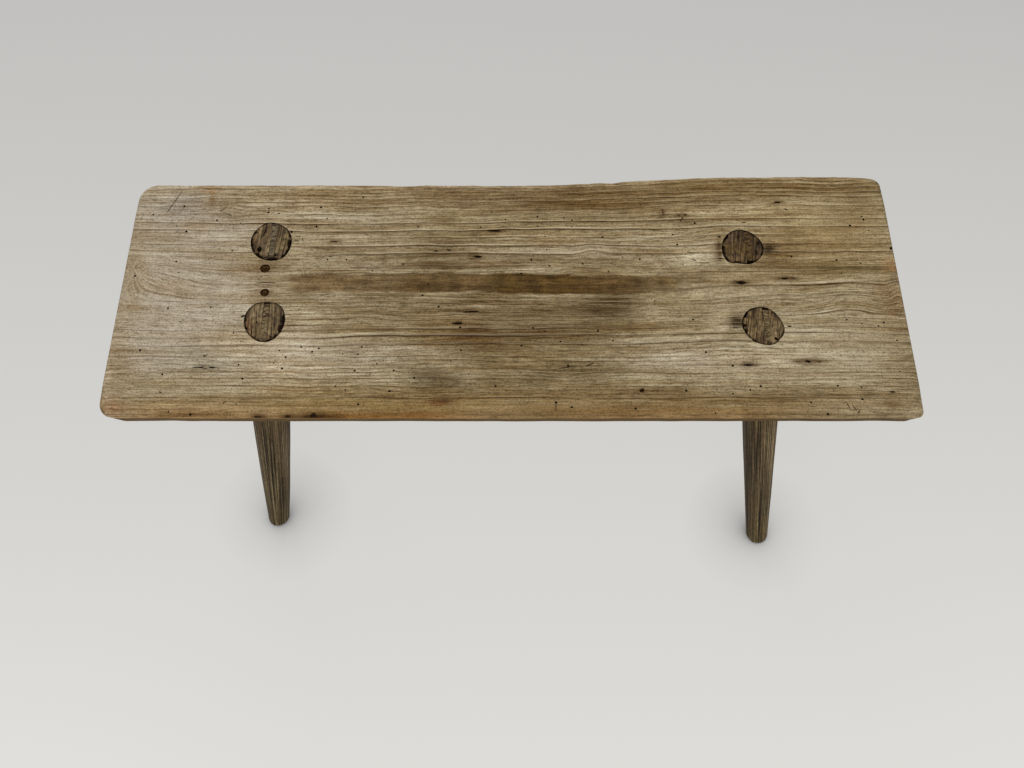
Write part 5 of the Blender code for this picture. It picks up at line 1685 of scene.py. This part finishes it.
for wedge_name in WEDGE_SHIFTS:
    wedge = make_piece(wedge_name + "_wedge_plate", wedge_patches(wedge_levels(wedge_name)))
    wedge.data.materials.append(wedge_grey)
    wedge_points = mesh_points(wedge)
    reach = np.abs(wedge_points[:, 1] - LEG_AXES[wedge_name][0][1])
    dirt = DIRT_STRENGTH * smooth_step((reach - DIRT_START) / DIRT_FADE)
    tints = lay_over(np.array(shade(*WEDGE_TINTS[wedge_name])), np.array(shade(*DIRT_TONE)), dirt)
    set_field(wedge, "tint", tints * (WEDGE_GAIN, WEDGE_GAIN, WEDGE_GAIN, 1.0))
    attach(wedge, "root")
    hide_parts(wedge_name + "_wedge")


# Pegs: two round whittled plugs that fill old holes between the left legs. Their ends sit a
# little below the worn top and are nearly black with dirt.
PEG_AROUND = 28
PEG_RINGS = 9
PEG_GAP = 0.0004
PEG_DROP = 0.0019
# The domed end reaches this share of the radius and falls by so much; then the shares and depths
# of the rings over the rim, down the side and under the lower end
DOME_SHARE = 0.86
DOME_FALL = 0.0004
SIDE_SHARES = (0.95, 1.0, 0.99, 0.97, 0.94, 0.5, 0.0)
SIDE_DEPTHS = (0.0006, 0.0013, 0.012, 0.026, 0.040, 0.040, 0.040)
# How far out of round it is whittled, in waves, and the roughness of its end, on rings so far out
# and no deeper than so much
WHITTLED = 0.03
WHITTLED_WAVES = 1.6
PEG_ROUGH = 0.0003
PEG_ROUGH_WAVES = 900.0
PEG_ROUGH_SHARE = 0.9
PEG_ROUGH_DEPTH = 0.01
PEG_SEEDS = (81, 83)

peg_wood, tree, surface = new_finish("dark peg", 0.95, 0.03)
specks = noise(tree, own_place(tree), 480.0, 4.0)
tree.links.new(ramp(tree, specks, (0.34, 20, 11, 3), (0.54, 48, 31, 13), (0.7, 92, 66, 36)),
               surface.inputs["Base Color"])
roughen(tree, surface, specks)


def peg_rings(column, row, radius, seed):
    """The peg as rings from the middle of its domed end, over its rounded rim, down its tapered
    side and in over its lower end, each ring whittled a little out of round."""
    x, y = seat_place(column, row)
    angle = np.linspace(0.0, 2.0 * np.pi, PEG_AROUND, endpoint=False)[None, :]
    uneven = soft_noise(angle * WHITTLED_WAVES, 0.0 * angle, seed)
    size = (radius - PEG_GAP) * (1.0 - WHITTLED * (1.0 + uneven))
    dome = np.linspace(0.0, DOME_SHARE, PEG_RINGS)
    share = np.concatenate((dome, SIDE_SHARES))
    depth = np.concatenate((DOME_FALL * dome ** 2, SIDE_DEPTHS)) + PEG_DROP
    reach = share[:, None] * size
    rings = np.stack((x + reach * np.cos(angle), y + reach * np.sin(angle),
                      SEAT_TOP - depth[:, None] + 0.0 * reach), axis=-1)
    rough = soft_noise(rings[..., 0] * PEG_ROUGH_WAVES, rings[..., 1] * PEG_ROUGH_WAVES, seed + 1)
    on_end = (share[:, None] < PEG_ROUGH_SHARE) * (depth[:, None] < PEG_ROUGH_DEPTH)
    rings[..., 2] += PEG_ROUGH * rough * on_end
    return rings


for peg_name, peg_hole, seed in zip(("rear_peg", "front_peg"), PEG_HOLES, PEG_SEEDS):
    peg_skin = peg_rings(*peg_hole, seed)
    peg = make_piece(peg_name + "_plug", ((peg_skin, skin_faces(peg_skin)),))
    peg.data.materials.append(peg_wood)
    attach(peg, "root")
    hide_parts(peg_name)


# Floor and light: a plain pale floor that is lighter towards the viewer, one wide soft lamp high
# behind the bench, whose low light rakes over the raised grain, and a weak one in front.
FLOOR_HALF = 6.0


def looked_at(tree):
    """1 for a ray of the camera's, or one that the object mirrors or lets through, and else 0."""
    rays = add_node(tree, "LightPath").outputs
    seen = calculate(tree, "MAXIMUM", rays["Is Camera Ray"], rays["Is Glossy Ray"])
    return calculate(tree, "MAXIMUM", seen, rays["Is Transmission Ray"])


sides = (-FLOOR_HALF, FLOOR_HALF)
floor_points = np.array([[(x, y, 0.0) for y in sides] for x in sides])
floor = make_piece("floor", ((floor_points, grid_faces(floor_points)),))
ground, tree, surface = new_finish("pale floor", 0.9, 0.0)
surface.inputs["Base Color"].default_value = shade(200, 199, 197)
across_floor = add_node(tree, "SeparateXYZ", {"Vector": own_place(tree)})
away = add_node(tree, "MapRange", {"Value": across_floor.outputs[1], "From Min": -0.54,
                                   "From Max": 0.96}).outputs[0]
pale = ramp(tree, away, (0.0, 223, 222, 218), (0.11, 218, 217, 213),
            (0.24, 212, 211, 207), (0.45, 204, 203, 199), (0.73, 194, 193, 190),
            (1.0, 186, 185, 183))
# painted contact shadow: close beside the feet the floor's glow is darkened by how much of the sky
# near by is hidden
open_sky = add_node(tree, "AmbientOcclusion", {"Distance": 0.10}, samples=8).outputs["AO"]
shadow = ramp(tree, open_sky, (0.50, 150, 150, 152), (0.85, 232, 232, 233),
              (0.98, 255, 255, 255))
pale = blend_colours(tree, "MULTIPLY", 1.0, pale, shadow)
glow = add_node(tree, "Emission", {"Color": pale, "Strength": 0.93})
seen = add_node(tree, "AddShader", {0: glow.outputs[0]})
faint = add_node(tree, "BsdfDiffuse", {"Color": (0.055, 0.055, 0.055, 1.0)})
tree.links.new(faint.outputs[0], seen.inputs[1])
chosen = add_node(tree, "MixShader", {0: looked_at(tree), 1: surface.outputs[0], 2: seen.outputs[0]})
output = [node for node in tree.nodes if node.type == "OUTPUT_MATERIAL"][0]
tree.links.new(chosen.outputs[0], output.inputs[0])
floor.data.materials.append(ground)


def soft_lamp(name, place, target, width, height, power):
    """A rectangular lamp at a place, turned to face its target."""
    lamp = bpy.data.objects.new(name, bpy.data.lights.new(name, "AREA"))
    lamp.data.shape = "RECTANGLE"
    lamp.data.size = width
    lamp.data.size_y = height
    lamp.data.energy = power
    aim = np.array(target) - np.array(place)
    lamp.location = place
    lamp.rotation_euler = (math.acos(-aim[2] / np.linalg.norm(aim)), 0.0,
                           math.atan2(aim[1], aim[0]) - math.pi / 2.0)
    bpy.context.scene.collection.objects.link(lamp)


soft_lamp("rear lamp", (-0.6, 2.6, 2.4), (0.0, 0.0, 0.4), 2.0, 1.0, 110.0)
soft_lamp("front lamp", (0.4, -2.6, 2.6), (0.0, 0.0, 0.3), 3.0, 2.0, 45.0)
# The world lights evenly from all round, and is seen past the floor's edge in the floor's far tone
sky = bpy.data.worlds.new("sky")
sky.use_nodes = True
sky.node_tree.nodes.clear()
even = add_node(sky.node_tree, "Background", {"Color": (1.0, 1.0, 1.0, 1.0), "Strength": 0.45})
beyond_floor = add_node(sky.node_tree, "Background", {"Color": shade(190, 189, 187), "Strength": 1.0})
seen_sky = add_node(sky.node_tree, "MixShader", {0: looked_at(sky.node_tree), 1: even.outputs[0],
                                                 2: beyond_floor.outputs[0]})
add_node(sky.node_tree, "OutputWorld", {0: seen_sky.outputs[0]})
bpy.context.scene.world = sky
bpy.context.scene.view_settings.view_transform = "Standard"
